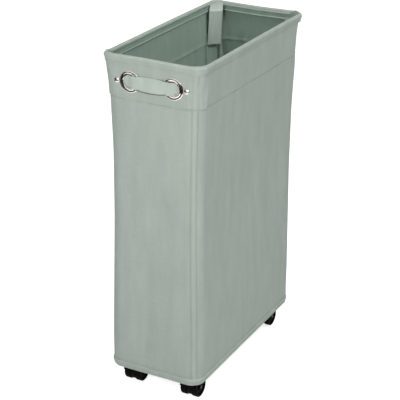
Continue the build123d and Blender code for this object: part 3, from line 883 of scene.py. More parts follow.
def cut_eyelet_holes(piece):
    """Cut round holes for the eyelets through a layer of the front wall."""
    handle = bpy.context.scene.handle_sizes
    clearance, cut_depth = 0.001, 0.04
    for place in eyelet_places():
        bpy.ops.object.select_all(action="DESELECT")
        bpy.ops.mesh.primitive_cylinder_add(
            vertices=64, radius=handle.eyelet_bore + clearance, depth=cut_depth
        )
        cutter = bpy.context.object
        set_in_place(cutter, place)
        apply_modifier(piece, "BOOLEAN", object=cutter, operation="DIFFERENCE", solver="EXACT")
        bpy.data.objects.remove(cutter)


def handle_matrix():
    """The frame of the handle's patch of wall: x across it, y up it, z out of it."""
    bag = bpy.context.scene.bag_sizes
    across = Vector((1, 0, 0))
    up = handle_axis.cross(across)
    lean = (bag.neck_half_depth - bag.seam_half_depth) / (wall_top - rim_top + bag.hem_drop)
    depth = bag.neck_half_depth - lean * (wall_top - handle_height)
    matrix = Matrix((across, up, handle_axis)).transposed().to_4x4()
    matrix.translation = (0, -depth, handle_height)
    return matrix


def eyelet_places():
    """The frames of the two eyelets."""
    return [handle_matrix() @ Matrix.Translation((end * eyelet_across(), 0, 0)) for end in ENDS.values()]


def rivet_places():
    """The frames of the two rivets."""
    return [handle_matrix() @ Matrix.Translation((end * rivet_across(), 0, 0)) for end in ENDS.values()]


def eyelet_across():
    """Distance of an eyelet from the middle of its handle."""
    handle = bpy.context.scene.handle_sizes
    return eyelet_high.x - handle.eyelet_bore - handle.eyelet_flange


def rivet_across():
    """Distance of a rivet from the middle of its handle."""
    return rivet_high.x - bpy.context.scene.handle_sizes.rivet_radius


def wall_sheet(name, columns):
    """A sheet of the bag's wall, from the base up to the rim."""
    tuck = 0.003
    rows = wall_rows(bag_bottom + tuck, neck_height())
    return cloth_sheet(
        name,
        columns,
        rows,
        lambda station, height: wall_points(station, height, 0.0),
        bpy.context.scene.bag_sizes.cloth,
        shade=seam_painted_shade,
        lined=True,
    )


def sew_on(piece, node):
    """Finish a sheet of the bag's cloth, fix it to the bag and hide the solid that it stands for."""
    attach(dress(piece, "bag_weave"), "bag")
    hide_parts(node)
    declare_sheet(piece)


def make_wall_panels():
    """Four walls of the bag, the front one pierced for the eyelets."""
    bag = bpy.context.scene.bag_sizes
    cell, turn_step = 0.0035, 0.02
    for side, panel in enumerate(PANELS):
        start, end = 2 * side, 2 * side + 1
        run = 2 * (bag.waist_half_depth if side % 2 else bag.waist_half_width)
        columns = np.unique(np.concatenate([
            run_columns(start - 1 + bag.strip_end, start, turn_step),
            run_columns(start, end, cell / run),
            run_columns(end, end + bag.strip_start, turn_step),
        ]))
        piece = wall_sheet(f"{panel}_wall", columns)
        if panel == "front":
            cut_eyelet_holes(piece)
        sew_on(piece, f"{panel}_panel")


def make_corner_strips():
    """Strips of cloth round the upright corners, between two seams."""
    bag = bpy.context.scene.bag_sizes
    step = 0.022
    for turn, corner in enumerate(TURNS):
        start = 2 * turn + 1
        columns = run_columns(start + bag.strip_start, start + bag.strip_end, step)
        piece = wall_sheet(f"{corner}_strip", columns)
        sew_on(piece, f"{corner}_corner_strip")


def make_hem_facing():
    """The inner layer of the hem, one band from the casing down to the hem seam."""
    bag = bpy.context.scene.bag_sizes
    below_seam = 0.0015
    row_count = 26
    depth, thickness = 1.1 * bag.cloth, 0.5 * bag.cloth
    seam = rim_top - bag.hem_drop
    piece = cloth_sheet(
        "hem_facing",
        np.linspace(0, WALK, BAND_COLUMNS),
        np.linspace(seam - below_seam, neck_height(), row_count),
        lambda station, height: wall_points(station, height, depth),
        thickness,
        joined=True,
        lined=True,
    )
    cut_eyelet_holes(piece)
    sew_on(piece, "hem_facings")


def casing_profile():
    """Offsets from the wire and heights along the casing, from its outer skirt over the top."""
    rim = bpy.context.scene.rim_sizes
    outer_dip, inner_dip = 0.18, 0.9
    roll_points, skirt_points = 27, 11
    outer_foot, inner_foot, inner_drop = 0.0016, -0.0018, 0.001
    skirt_curve = 1.3
    lip_height, outer_lip = 0.1, 0.3
    angles = np.linspace(-outer_dip, pi + inner_dip, roll_points)
    centre = rim_top - rim.casing_radius
    offsets = rim.casing_radius * np.cos(angles)
    heights = centre + rim.casing_radius * np.sin(angles)
    skirt = np.linspace(0, 1, skirt_points, endpoint=False)
    low = centre - rim.casing_skirt
    lip = rim.casing_lip * np.exp(-((skirt / lip_height) ** 2))
    outer = outer_foot + (offsets[0] - outer_foot) * skirt**skirt_curve + outer_lip * lip
    inner = inner_foot + (offsets[-1] - inner_foot) * skirt**skirt_curve - lip
    outer_heights = low + (heights[0] - low) * skirt
    inner_heights = low - inner_drop + (heights[-1] - low + inner_drop) * skirt
    return (
        np.concatenate([outer, offsets, inner[::-1]]),
        np.concatenate([outer_heights, heights, inner_heights[::-1]]),
    )


def rim_wave(station):
    """How far the rim wanders up and down round the bag."""
    return bpy.context.scene.rim_sizes.casing_wave * slow_waves(station, RIM_WAVES)


def ear_share(offset):
    """How much of a corner's ear the casing shows at an offset from the wire: all of it outside."""
    return np.clip(0.5 + offset / bpy.context.scene.rim_sizes.casing_radius, 0, 1)


def rim_points(station, offset, height):
    """Points of the casing at stations, offsets from the wire and heights."""
    rim = bpy.context.scene.rim_sizes
    bag = bpy.context.scene.bag_sizes
    lump_run, lump_turn, crease_run = 0.5, 0.7, 0.25
    unevenness, crease_share = 0.5, 0.5
    half_x = rim_high.x - rim.casing_radius + offset
    half_y = rim_high.y - rim.casing_radius + offset
    place, normal = ring_place(station, half_x, half_y, rim.casing_turn + offset)
    x, y = place[..., 0], place[..., 1]
    turning = np.floor(station) % 2
    part = station - np.floor(station)
    corner_ear = np.array(rim.casing_ear)[(np.floor(station) % WALK // 2).astype(int)]
    ear = corner_ear * turning * np.sin(pi * part) ** 3 * ear_share(offset)
    place = place + normal * ear[..., None]
    lumps = ripples(x, y, height, RIM_LUMPS) * (lump_run + lump_turn * turning)
    creases = ripples(x, y, height, RIM_CREASES) * (crease_run + turning)
    uneven = bag.pucker_depth * unevenness * (lumps + crease_share * creases)
    place = place + normal * uneven[..., None]
    return np.concatenate([place, (height + rim_wave(station % WALK))[..., None]], -1)


def make_rim_casing():
    """The cloth tunnel round the rim wire."""
    bag = bpy.context.scene.bag_sizes
    rim = bpy.context.scene.rim_sizes
    rear_start, rear_end, rear_ease = 4, 5, 0.15
    lining_rows, fullness_rows = 3, 4
    rear_fade = 0.4
    thickness = 0.8 * bag.cloth
    offsets, heights = casing_profile()
    innermost = int(np.argmin(offsets))

    def on_rear(station):
        return np.clip(np.minimum(station - rear_start, rear_end - station) / rear_ease + 0.5, 0, 1)

    def lining(station, row):
        inside = np.clip((row - innermost + lining_rows) / lining_rows, 0, 1)
        return inside * (1 - rear_fade * on_rear(station))

    def casing_points(station, row):
        inside = np.clip((row - innermost) / fullness_rows, 0, 1)
        fullness = rim.casing_fullness * on_rear(station) * inside
        return rim_points(station, offsets[row] - fullness, heights[row])

    piece = cloth_sheet(
        "rim_tunnel",
        np.linspace(0, WALK, CASING_COLUMNS),
        np.arange(len(offsets)),
        casing_points,
        thickness,
        joined=True,
        lined=lining,
    )
    sew_on(piece, "rim_casing")


def binding_profile():
    """Offsets from the wall and heights along the binding, from under the base up the wall."""
    bag = bpy.context.scene.bag_sizes
    rim = bpy.context.scene.rim_sizes
    lap_points, curl_points, upright_points = 4, 8, 7
    top_tuck = 0.0004
    curl = rim.binding_curl
    angles = np.linspace(-pi / 2, 0, curl_points)
    under = np.linspace(-rim.binding_lap, bag.cloth - curl, lap_points, endpoint=False)
    upright = np.linspace(bag_bottom + curl, binding_high.z, upright_points + 1)[1:]
    bulge = rim.binding_bulge * np.sin(np.linspace(0, pi, upright_points))
    offsets = np.concatenate([under, bag.cloth - curl + curl * np.cos(angles), bag.cloth + bulge])
    level = np.full(lap_points, bag_bottom)
    heights = np.concatenate([level, bag_bottom + curl + curl * np.sin(angles), upright])
    offsets[-1] -= top_tuck
    return offsets, heights


def make_binding():
    """The binding round the bottom edge."""
    bag = bpy.context.scene.bag_sizes
    rim = bpy.context.scene.rim_sizes
    pucker_depth, swell_depth, wander = 0.0005, 0.0004, 0.0006
    pucker_run, pucker_turn = 0.35, 0.9
    offsets, heights = binding_profile()

    def binding_points(station, row):
        offset, height = offsets[row], heights[row]
        half_x = bag.base_half_width + offset
        half_y = bag.base_half_depth + offset
        place, normal = ring_place(station, half_x, half_y, bag.corner_radius + offset)
        x, y = place[..., 0], place[..., 1]
        turning = np.floor(station) % 2
        puckers = ripples(x, y, height, BINDING_PUCKERS) * (pucker_run + pucker_turn * turning)
        swell = ripples(x, y, height, BINDING_SWELL, shift=(0, 0, 9))
        place = place + normal * (pucker_depth * puckers + swell_depth * swell)[..., None]
        upright = height > bag_bottom + rim.binding_curl
        lift = wander * ripples(x, y, height, BINDING_WANDER, shift=(5, 0, 0)) * upright
        return np.concatenate([place, (height + lift)[..., None]], -1)

    piece = cloth_sheet(
        "bottom_binding",
        np.linspace(0, WALK, BAND_COLUMNS),
        np.arange(len(offsets)),
        binding_points,
        bag.cloth,
        joined=True,
    )
    sew_on(piece, "base_binding")


def make_under_cloth():
    """The cloth under the floor, inside the binding."""
    bag = bpy.context.scene.bag_sizes
    lift, sag_depth, thickness = 0.0002, 0.00025, 0.0008
    column_count, row_count = 50, 110
    curl = bpy.context.scene.rim_sizes.binding_curl
    turn = bag.corner_radius - curl
    half_y = bag.base_half_depth - curl

    def under_points(across, along):
        past = np.clip(np.abs(along) - (half_y - turn), 0, turn)
        half_x = bag.base_half_width - curl - turn + np.sqrt(turn**2 - past**2)
        x = -across * half_x
        sag = sag_depth * ripples(x, along, 0 * x, BASE_SAG)
        return np.stack([x, along, bag_bottom + lift + sag], -1)

    columns = np.linspace(-1, 1, column_count)
    rows = np.linspace(-half_y, half_y, row_count)
    piece = cloth_sheet("under_cloth", columns, rows, under_points, thickness)
    sew_on(piece, "base_cloth")


def make_base_cloth():
    """The binding round the bottom edge and the cloth under the floor."""
    make_binding()
    make_under_cloth()


def corner_directions(turn):
    """Unit vectors out of a corner and along the walk past it."""
    out = np.append(TURN_SIGNS[turn], 0) / np.sqrt(2)
    return out, np.array([-out[1], out[0], 0])


def long_wall_side(turn):
    """The way along the walk in which a corner's long wall lies, 1 or -1."""
    return 1 - 2 * (turn % 2)


def make_rod_pockets():
    """Strips sewn across the inner corners, each holding an upright rod."""
    bag = bpy.context.scene.bag_sizes
    rim = bpy.context.scene.rim_sizes
    flap = 0.18
    flap_columns, middle_columns, row_count = 5, 17, 110
    depth, thickness = 2.6 * bag.cloth, 0.8 * bag.cloth
    slope_start, slope_width = 0.15, 0.4
    bulge_depth = 0.0008
    ripples_across, ripples_up = 30, 26
    knots = np.array([0.0, flap, 1 - flap, 1.0])
    across_flap = np.linspace(0, flap, flap_columns)
    across_middle = np.linspace(flap, 1 - flap, middle_columns)[1:-1]
    columns = np.concatenate([across_flap, across_middle, 1 - across_flap[::-1]])
    rows = np.linspace(0, 1, row_count)
    runs = [2 * (half - bag.corner_radius) for half in (bag.waist_half_width, bag.waist_half_depth)]
    near, far = rim.pocket_reach, rim.pocket_reach + rim.pocket_flap
    for turn, corner in enumerate(TURNS):
        before, after = runs[turn % 2], runs[1 - turn % 2]
        start, end = 2 * turn + 1, 2 * turn + 2
        stations = (start - far / before, start - near / before, end + near / after, end + far / after)
        out, _ = corner_directions(turn)

        def pocket_points(part, rise):
            aside = long_wall_side(turn) * (part - 0.5) / (0.5 - flap)
            slope = smooth_step(np.clip((-slope_start - aside) / slope_width, 0, 1))
            top = pocket_high.z - rim.pocket_slope * slope
            height = pocket_low.z + (top - pocket_low.z) * rise
            sewn = [wall_points(np.full_like(height, station), height, depth) for station in stations]
            weights = [np.interp(part, knots, at_knot) for at_knot in np.eye(len(knots))]
            points = sum(weight[:, None] * point for weight, point in zip(weights, sewn))
            across = np.clip((part - flap) / (1 - 2 * flap), 0, 1)
            ripple = soft_noise(ripples_across * across, ripples_up * height, 0 * height + turn)
            bulge = bulge_depth * np.sin(pi * across) * (1 + ripple)
            return points + bulge[:, None] * out

        piece = cloth_sheet(
            f"{corner}_rod_pocket",
            columns[::-1],
            rows,
            pocket_points,
            thickness,
            lined=lambda part, rise: np.ones_like(rise),
        )
        foot = pocket_points(columns, np.zeros_like(columns))
        foot_length = np.linalg.norm(np.diff(foot, axis=0), axis=1).sum()
        piece["flat"] = (float(foot_length), pocket_high.z - pocket_low.z)
        sew_on(piece, "rod_pockets")


def tab_plane():
    """Distance along X and Y from the bag's middle to the plane that a tab hangs in."""
    rim = bpy.context.scene.rim_sizes
    reach = (rim.tab_half_width + rim.tab_thickness / 2) / np.sqrt(2)
    return np.array([tab_low.x + reach, tab_low.y + reach, 0])


def make_corner_tabs():
    """Cloth tabs that wrap the rim at the corners and hang down inside over the rod ends."""
    rim = bpy.context.scene.rim_sizes
    rows_before_top, wrap_end = 2, 0.59
    fold_drop, fold_gap = 0.012, 0.0015
    shelf_rows, hang_rows, column_count = 7, 26, 21
    ripple_depth, ripples_across, ripples_down = 0.0006, 90, 30
    creases_across, creases_by_row, creases_down = 380, 0.1, 60
    crease_start, crease_fade, corner_step = 2.8, 0.012, 3
    wrap_darkening, crease_row, crease_rows = 2.5, 4, 4.5
    offsets, heights = casing_profile()
    wrap_start = int(np.argmax(heights)) - rows_before_top
    wrap = slice(wrap_start, int(np.argmax(offsets < -wrap_end * rim.casing_radius)))
    wrap_offsets = offsets[wrap] * (1 + rim.tab_wrap / rim.casing_radius)
    wrap_heights = heights[wrap]
    wrapped_rows = len(wrap_offsets)
    shelf = np.linspace(0, 1, shelf_rows + 2)[1:-1]
    shelf_drops = rim_top - wrap_heights[-1] + shelf * (fold_drop - rim_top + wrap_heights[-1])
    lower_drops = np.linspace(fold_drop + fold_gap, rim_top - tab_low.z, hang_rows)
    hang_drops = np.concatenate([shelf_drops, lower_drops])
    hang_shares = np.concatenate([shelf, np.ones(hang_rows)])
    rows = np.arange(wrapped_rows + len(hang_drops))
    columns = np.linspace(-rim.tab_half_width, rim.tab_half_width, column_count)
    inner_radius = rim.casing_turn + wrap_offsets[-1]
    rim_half = np.array([rim_high.x, rim_high.y, 0])

    # Each tab's wrap over the rim and the start of its shelf are darker than its hanging part, and a band
    # just behind the rim gets painted shade for the crease between the casing's bead and the tab.
    def tab_darkening_at(turn):
        def tab_darkening(width, row):
            past_rim = row - wrapped_rows
            crease = np.exp(-(((past_rim - crease_row) / crease_rows) ** 2))
            on_wrap = np.clip(1 - past_rim / shelf_rows, 0, 1)
            return wrap_darkening * on_wrap + rim.tab_crease_painted_shade[turn] * crease

        return tab_darkening

    for turn, corner in enumerate(TURNS):
        out, across = corner_directions(turn)
        signs = np.append(TURN_SIGNS[turn], 0)
        rim_centre = signs * (rim_half - rim.casing_radius - rim.casing_turn)
        hang_line = signs * tab_plane()

        def wrapped_points(width, row):
            angle = width / rim.casing_turn
            flat = out * np.cos(angle)[:, None] + across * np.sin(angle)[:, None]
            waves = creases_across * width + corner_step * turn
            creases = rim.tab_crease * soft_noise(waves, creases_by_row * row, 0 * width)
            ear = rim.casing_ear[turn] * ear_share(wrap_offsets[row]) * np.cos(2 * angle) ** 3
            radius = rim.casing_turn + wrap_offsets[row] + ear + creases * np.sign(wrap_offsets[row])
            points = rim_centre + flat * radius[:, None]
            over = np.clip((wrap_heights[row] - rim_top + rim.casing_radius) / rim.casing_radius, 0, 1)
            wave = rim_wave(2 * turn + 1.5)
            points[:, 2] = wrap_heights[row] + over * (rim.tab_wrap + creases) + wave
            return points

        def hanging_points(width, row):
            share_down, drop = hang_shares[row], hang_drops[row]
            inner = rim_centre + out * inner_radius
            place = inner + (hang_line - inner) * share_down[:, None]
            curve = (1 - share_down) * (np.cos(width / rim.casing_turn) - 1) * rim.casing_turn
            ripple = soft_noise(ripples_across * width, ripples_down * drop, 0 * width + turn) * share_down
            waves = creases_across * width + corner_step * turn
            creases = soft_noise(waves, crease_start + creases_down * drop, 0 * width)
            depth = curve + ripple_depth * ripple + rim.tab_crease * (creases * np.exp(-drop / crease_fade))
            shift = rim.tab_shift + rim.tab_lean * drop / hang_drops[-1]
            aside = width + long_wall_side(turn) * share_down * shift
            points = place + across * aside[:, None] + out * depth[:, None]
            points[:, 2] = rim_top - drop
            return points

        def tab_points(width, row):
            points = np.empty((len(row), 3))
            over = row < wrapped_rows
            points[over] = wrapped_points(width[over], row[over])
            points[~over] = hanging_points(width[~over], row[~over] - wrapped_rows)
            return points

        name = f"{corner}_tab"
        piece = cloth_sheet(name, columns, rows, tab_points, rim.tab_thickness, shade=tab_darkening_at(turn))
        dress(piece, "tab_weave")
        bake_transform(piece)
        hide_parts(f"{corner}_corner_tab")
        declare_sheet(piece)


def make_hook_patches():
    """Patches of hook tape on the pockets, which close the tabs."""
    rim = bpy.context.scene.rim_sizes
    half_width, depth, thickness = 0.010, 0.0012, 0.0006
    grid_count = 9
    columns = np.linspace(half_width, -half_width, grid_count)
    rows = np.linspace(patch_low.z, patch_high.z, grid_count)
    for turn, corner in enumerate(TURNS):
        out, across = corner_directions(turn)
        middle = np.append(TURN_SIGNS[turn], 0) * tab_plane()
        middle = middle + out * (0.5 * rim.tab_thickness + depth)
        middle = middle + across * rim.tab_shift * long_wall_side(turn)

        def patch_points(width, height):
            points = middle + across * width[:, None]
            points[:, 2] = height
            return points

        piece = cloth_sheet(f"{corner}_hook_patch", columns, rows, patch_points, thickness)
        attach(dress(piece, "hook_tape"), "bag")
        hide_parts("hook_patches")
        declare_sheet(piece)


def strap_points(along, width, matrix, end):
    """Points of a strap half, from the middle of the handle through an eyelet to its rivet."""
    handle = bpy.context.scene.handle_sizes
    bore_gap, least_chord = 0.0005, 0.0035
    pinch_reach, dive_reach = 1.15, 0.92
    ripple_depth, ripple_waves = 0.0002, 60
    centre = eyelet_across()
    bore = handle.eyelet_bore - bore_gap
    inside = np.exp(-(((along - centre) / (pinch_reach * handle.eyelet_bore)) ** 2))
    width = width * (1 - handle.strap_pinch * inside)
    chord = np.sqrt(np.clip(bore**2 - width**2, least_chord**2, None))
    dive = smooth_step(np.clip((along - centre + dive_reach * chord) / (2 * dive_reach * chord), 0, 1))
    bow = handle.strap_bow * np.clip(1 - (along / (centre - handle.eyelet_bore)) ** 2, 0, 1)
    out = (handle.strap_lift + bow) * (1 - dive) - handle.strap_back * dive
    between = np.clip(1 - (along / (centre - handle.eyelet_bore - handle.eyelet_flange)) ** 2, 0, 1)
    out = out - handle.strap_tilt * np.sqrt(between) * width / (handle.strap_width / 2)
    ripple = ripple_depth * soft_noise(ripple_waves * along + 3 * end, ripple_waves * width, 0 * along)
    local = np.stack([end * along, width, out + ripple, np.ones_like(along)], -1)
    return (local @ np.array(matrix).T)[:, :3]


def make_handle():
    """The cloth strap, in two halves that bend from the wall to the grip."""
    handle = bpy.context.scene.handle_sizes
    margin, past_rivet = 0.004, 0.0042
    grip_columns, bend_columns, tail_columns, row_count = 11, 43, 8, 29
    painted_shade_darkness = 6
    half = handle.strap_width / 2
    matrix = handle_matrix()
    inner = eyelet_across() - handle.eyelet_bore
    outer = eyelet_across() + handle.eyelet_bore
    columns = np.concatenate([
        np.linspace(0, inner - margin, grip_columns, endpoint=False),
        np.linspace(inner - margin, outer + margin, bend_columns, endpoint=False),
        np.linspace(outer + margin, rivet_across() + past_rivet, tail_columns),
    ])
    rows = np.linspace(-half, half, row_count)

    # Painted shade along the strap's lower edge on the grip, standing for the shadow under it.
    def strap_edge_painted_shade(along, width):
        under = np.clip((handle.strap_painted_shade_width - half - width) / (0.5 * handle.strap_painted_shade_width), 0, 1)
        return painted_shade_darkness * under * (along < inner)

    for end_name, end in ENDS.items():
        piece = cloth_sheet(
            f"strap_{end_name}",
            columns[::end],
            rows,
            lambda along, width: strap_points(along, width, matrix, end),
            handle.strap_thickness,
            shade=strap_edge_painted_shade,
        )
        dress(piece, "strap_weave")
        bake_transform(piece)
        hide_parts("front_strap", "front_strap_tails")
        declare_sheet(piece)


def make_eyelets():
    """Plated eyelets with a rolled bore, a shallow valley and a rolled edge."""
    handle = bpy.context.scene.handle_sizes
    segments = 72
    bore = handle.eyelet_bore
    edge = bore + handle.eyelet_flange
    tube, curl = bore + 0.0009, bore + 0.002
    tube_end, curl_top, underside = -0.0036, -0.0029, -0.0002
    rolled_bore = [
        (bore, tube_end),
        (bore, 0.0013),
        (bore + 0.0002, 0.0018),
        (bore + 0.0007, 0.0023),
        (bore + 0.0015, 0.0023),
        (bore + 0.0022, 0.0018),
    ]
    flange = [
        (bore + 0.0028, 0.0014),
        (bore + 0.0035, 0.0015),
        (bore + 0.0044, 0.0019),
        (bore + 0.0051, 0.0019),
        (bore + 0.0060, 0.0015),
        (edge - 0.0002, 0.0007),
        (edge, 0.0001),
        (edge - 0.0003, underside),
    ]
    back = [
        (tube, underside),
        (tube, curl_top),
        (curl, -0.0030),
        (curl, tube_end),
        (bore, tube_end),
    ]
    ring = turned_ring("eyelet", rolled_bore + flange + back, segments)
    piece = copies(ring, "eyelet_rings", eyelet_places())
    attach(dress(piece, "polished_plate"), "bag")
    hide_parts("front_eyelets")


def make_rivets():
    """Dome rivets with a flat collar and a small cap at the back."""
    handle = bpy.context.scene.handle_sizes
    segments, dome_points = 40, 9
    dome_share, dome_foot, tip_angle = 0.92, 0.0005, 0.02
    collar_top, collar_bottom = 0.0004, -0.0002
    shank_radius, cap_radius, back = 0.0018, 0.0040, -0.0050
    radius, height = handle.rivet_radius, handle.rivet_height
    angles = np.linspace(tip_angle, pi / 2, dome_points)
    dome = [(dome_share * radius * sin(a), dome_foot + (height - dome_foot) * cos(a)) for a in angles]
    collar_and_cap = [
        (radius, collar_top),
        (radius, collar_bottom),
        (shank_radius, collar_bottom),
        (shank_radius, back),
        (cap_radius, back),
        (0.0039, back - 0.0008),
        (0.0030, back - 0.0012),
        (0.0001, back - 0.0013),
    ]
    rivet = turned_ring("rivet", dome + collar_and_cap, segments)
    piece = copies(rivet, "rivet_caps", rivet_places())
    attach(dress(piece, "satin_plate"), "bag")
    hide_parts("front_rivets")


def make_hub_webs():
    """The round web of each caster's housing, which fills the gap between its wheels."""
    looks = bpy.context.scene.fitting_looks
    for corner in TURNS:
        axle_low, axle_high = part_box(f"{corner}_caster_axle")
        bpy.ops.object.select_all(action="DESELECT")
        bpy.ops.mesh.primitive_cylinder_add(
            vertices=64, radius=looks.web_radius, depth=looks.web_width, rotation=(0, pi / 2, 0)
        )
        piece = named_last(f"{corner}_hub_web")
        piece.location = (axle_low + axle_high) / 2
        bpy.ops.object.transform_apply(location=True, rotation=True, scale=True)
        apply_modifier(piece, "BEVEL", width=looks.web_edge, segments=3)
        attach(dress(piece, "caster_black"), f"{corner}_caster")


def stitch_row(name, points):
    """A row of stitches along a line of points, each one copied from a modelled stitch."""
    sizes = bpy.context.scene.stitch_sizes
    look = 0.001
    off_axis = (0.36, 0.48, 0.8)
    bpy.ops.object.select_all(action="DESELECT")
    bpy.ops.mesh.primitive_uv_sphere_add(segments=6, ring_count=4, radius=1.0)
    stitch = bpy.context.object
    shape = vertex_places(stitch.data) * (sizes.thread_radius, sizes.thread_radius, sizes.stitch / 2)
    faces = [tuple(polygon.vertices) for polygon in stitch.data.polygons]
    bpy.data.objects.remove(stitch)
    steps = np.linalg.norm(np.diff(points, axis=0), axis=1)
    gone = np.concatenate([[0], np.cumsum(steps)])
    count = int(gone[-1] / sizes.pitch)
    middles = (np.arange(count) + 0.5) * gone[-1] / count

    def on_line(distance):
        return np.stack([np.interp(distance, gone, points[:, axis]) for axis in range(3)], -1)

    along = on_line(middles + look) - on_line(middles - look)
    along /= np.linalg.norm(along, axis=1)[:, None]
    level = np.cross(along, off_axis)
    level /= np.linalg.norm(level, axis=1)[:, None]
    axes = (level, np.cross(along, level), along)
    turned = sum(shape[None, :, part, None] * axis[:, None] for part, axis in enumerate(axes))
    vertices = (on_line(middles)[:, None] + turned).reshape(-1, 3)
    all_faces = [
        tuple(index + copy * len(shape) for index in face) for copy in range(count) for face in faces
    ]
    mesh = bpy.data.meshes.new(name)
    mesh.from_pydata(vertices.tolist(), [], all_faces)
    piece = bpy.data.objects.new(name, mesh)
    bpy.context.scene.collection.objects.link(piece)
    return dress(piece, "sewing_thread")


def corner_stitch_lines(proud):
    """Lines of stitches beside the corner strips' seams and across the strips, by name."""
    bag = bpy.context.scene.bag_sizes
    sizes = bpy.context.scene.stitch_sizes
    beside, above_binding, below_neck = 0.06, 0.002, 0.003
    upright_points, level_points = 300, 40
    seam = rim_top - bag.hem_drop
    upright = np.linspace(binding_high.z + above_binding, neck_height() - below_neck, upright_points)
    edges = {"first": bag.strip_start - beside, "second": bag.strip_end + beside}
    levels = {"lower": seam + sizes.box_low, "upper": seam + sizes.box_high}
    lines = {}
    for turn, corner in enumerate(TURNS):
        start = 2 * turn + 1
        for edge, part in edges.items():
            station = np.full_like(upright, start + part)
            lines[f"{corner}_{edge}_stitches"] = wall_points(station, upright, -proud)
        for name, level in levels.items():
            station = start + np.linspace(bag.strip_start, bag.strip_end, level_points)
            height = np.full_like(station, level)
            lines[f"{corner}_{name}_stitches"] = wall_points(station, height, -proud)
    return lines


def make_stitching():
    """Rows of stitches along the hem, the rim, the corners and the binding."""
    bag = bpy.context.scene.bag_sizes
    sizes = bpy.context.scene.stitch_sizes
    above_edge, outer_skirt, inner_skirt = 0.0026, 0.0024, -0.0022
    around = np.linspace(0, WALK, STITCH_POINTS)
    proud = 0.4 * sizes.thread_radius

    def even(value):
        return np.full_like(around, value)

    on_hem = even(rim_top - bag.hem_drop + sizes.rows_apart)
    _, heights = casing_profile()
    lines = {
        "hem_stitches": wall_points(around, on_hem, -proud),
        "hem_stitches_inside": wall_points(around, on_hem, 2 * bag.cloth + proud),
        "rim_stitches": rim_points(around, even(outer_skirt + proud), even(heights[0] + above_edge)),
        "rim_stitches_inside": rim_points(around, even(inner_skirt - proud), even(heights[-1] + above_edge)),
    }
    lines.update(corner_stitch_lines(proud))
    place, _ = ring_place(
        around,
        even(bag.base_half_width + bag.cloth + proud),
        even(bag.base_half_depth + bag.cloth + proud),
        even(bag.corner_radius + bag.cloth + proud),
    )
    level = even(binding_high.z - sizes.rows_apart)
    lines["binding_stitches"] = np.concatenate([place, level[:, None]], -1)
    for name, points in lines.items():
        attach(stitch_row(name, points), "bag")


def dress_frame_nodes():
    """Finishes for the solid pieces that show as they are."""
    finishes = {
        "drawn_steel": ("rim_wire", "rim_ferrule", "corner_rod"),
        "dark_steel": ("caster_axle", "kingpins", "caster_screws"),
        "polished_plate": ("eyelet_washers",),
        "pressed_board": ("base_board",),
        "caster_black": ("rod_caps", "caster_housing", "caster_plate"),
        "wheel_black": ("_wheel",),
    }
    for name, node in frame["nodes"].items():
        for finish, endings in finishes.items():
            if name.endswith(endings):
                node.data.materials.clear()
                node.data.materials.append(finish_named(finish))


def look_at(place, target, roll):
    """A matrix at a place that looks at a target."""
    turn = (target - place).to_track_quat("-Z", "Y").to_matrix().to_4x4()
    return Matrix.Translation(place) @ turn @ Matrix.Rotation(roll, 4, "Z")


def area_light(name, watts, place, target, size):
    """A soft square lamp that faces a target."""
    lamp = bpy.data.lights.new(name, "AREA")
    lamp.size = size
    lamp.energy = watts
    holder = bpy.data.objects.new(name, lamp)
    bpy.context.scene.collection.objects.link(holder)
    holder.matrix_world = look_at(Vector(place), Vector(target), 0)


def dark_fence():
    """A dark round fence that only reflections show, so that bright metal has something to mirror."""
    settings = bpy.context.scene.stage_settings
    bpy.ops.object.select_all(action="DESELECT")
    bpy.ops.mesh.primitive_cylinder_add(
        vertices=48,
        radius=settings.fence_radius,
        depth=settings.fence_height,
        location=(0, 0, settings.fence_height / 2),
        end_fill_type="NOTHING",
    )
    fence = bpy.context.object
    fence.name = "dark_fence"
    material, finish = new_finish("dark_fence")
    matt = finish.node("ShaderNodeBsdfDiffuse", None, {"Color": (*settings.fence_colour, 1)})
    finish.node("ShaderNodeOutputMaterial", None, {"Surface": matt})
    fence.data.materials.append(material)
    fence.visible_camera = False
    fence.visible_diffuse = False
    fence.visible_shadow = False
    fence.visible_transmission = False


def studio_floor():
    """A wide white floor that takes the bin's shadow."""
    settings = bpy.context.scene.stage_settings
    bpy.ops.object.select_all(action="DESELECT")
    bpy.ops.mesh.primitive_plane_add(size=settings.floor_size)
    floor = bpy.context.object
    floor.name = "studio_floor"
    material, finish = new_finish("studio_floor")
    matt = finish.node("ShaderNodeBsdfDiffuse", None, {"Color": (*settings.floor_colour, 1)})
    glow = finish.node("ShaderNodeEmission", None, {"Strength": settings.floor_glow * finish.seen()})
    surface = finish.node("ShaderNodeAddShader", None, {0: matt, 1: glow})
    finish.node("ShaderNodeOutputMaterial", None, {"Surface": surface})
    floor.data.materials.append(material)


def studio_sky():
    """Even light from all round, white where it is seen."""
    settings = bpy.context.scene.stage_settings
    world = bpy.data.worlds.new("studio")
    bpy.context.scene.world = world
    world.use_nodes = True
    sky = Finish(world.node_tree)
    strength = settings.sky + (1 - settings.sky) * sky.seen()
    background = sky.node("ShaderNodeBackground", None, {"Color": (1, 1, 1, 1), "Strength": strength})
    sky.node("ShaderNodeOutputWorld", None, {"Surface": background})


def studio_lamps():
    """A low lamp in front, one on the right, one into the bag and one straight above."""
    settings = bpy.context.scene.stage_settings
    target = settings.target
    area_light("key_lamp", settings.key_power, place=(0.12, -1.05, 0.665), target=(0, 0, 0.5), size=0.25)
    area_light("side_lamp", settings.side_power, place=(1.7, -1.1, 0.45), target=target, size=0.6)
    area_light("inner_lamp", settings.inner_power, place=(1.5, -0.15, 2.4), target=target, size=0.7)
    area_light("top_lamp", settings.top_power, place=(0, 0, 2.8), target=target, size=0.6)


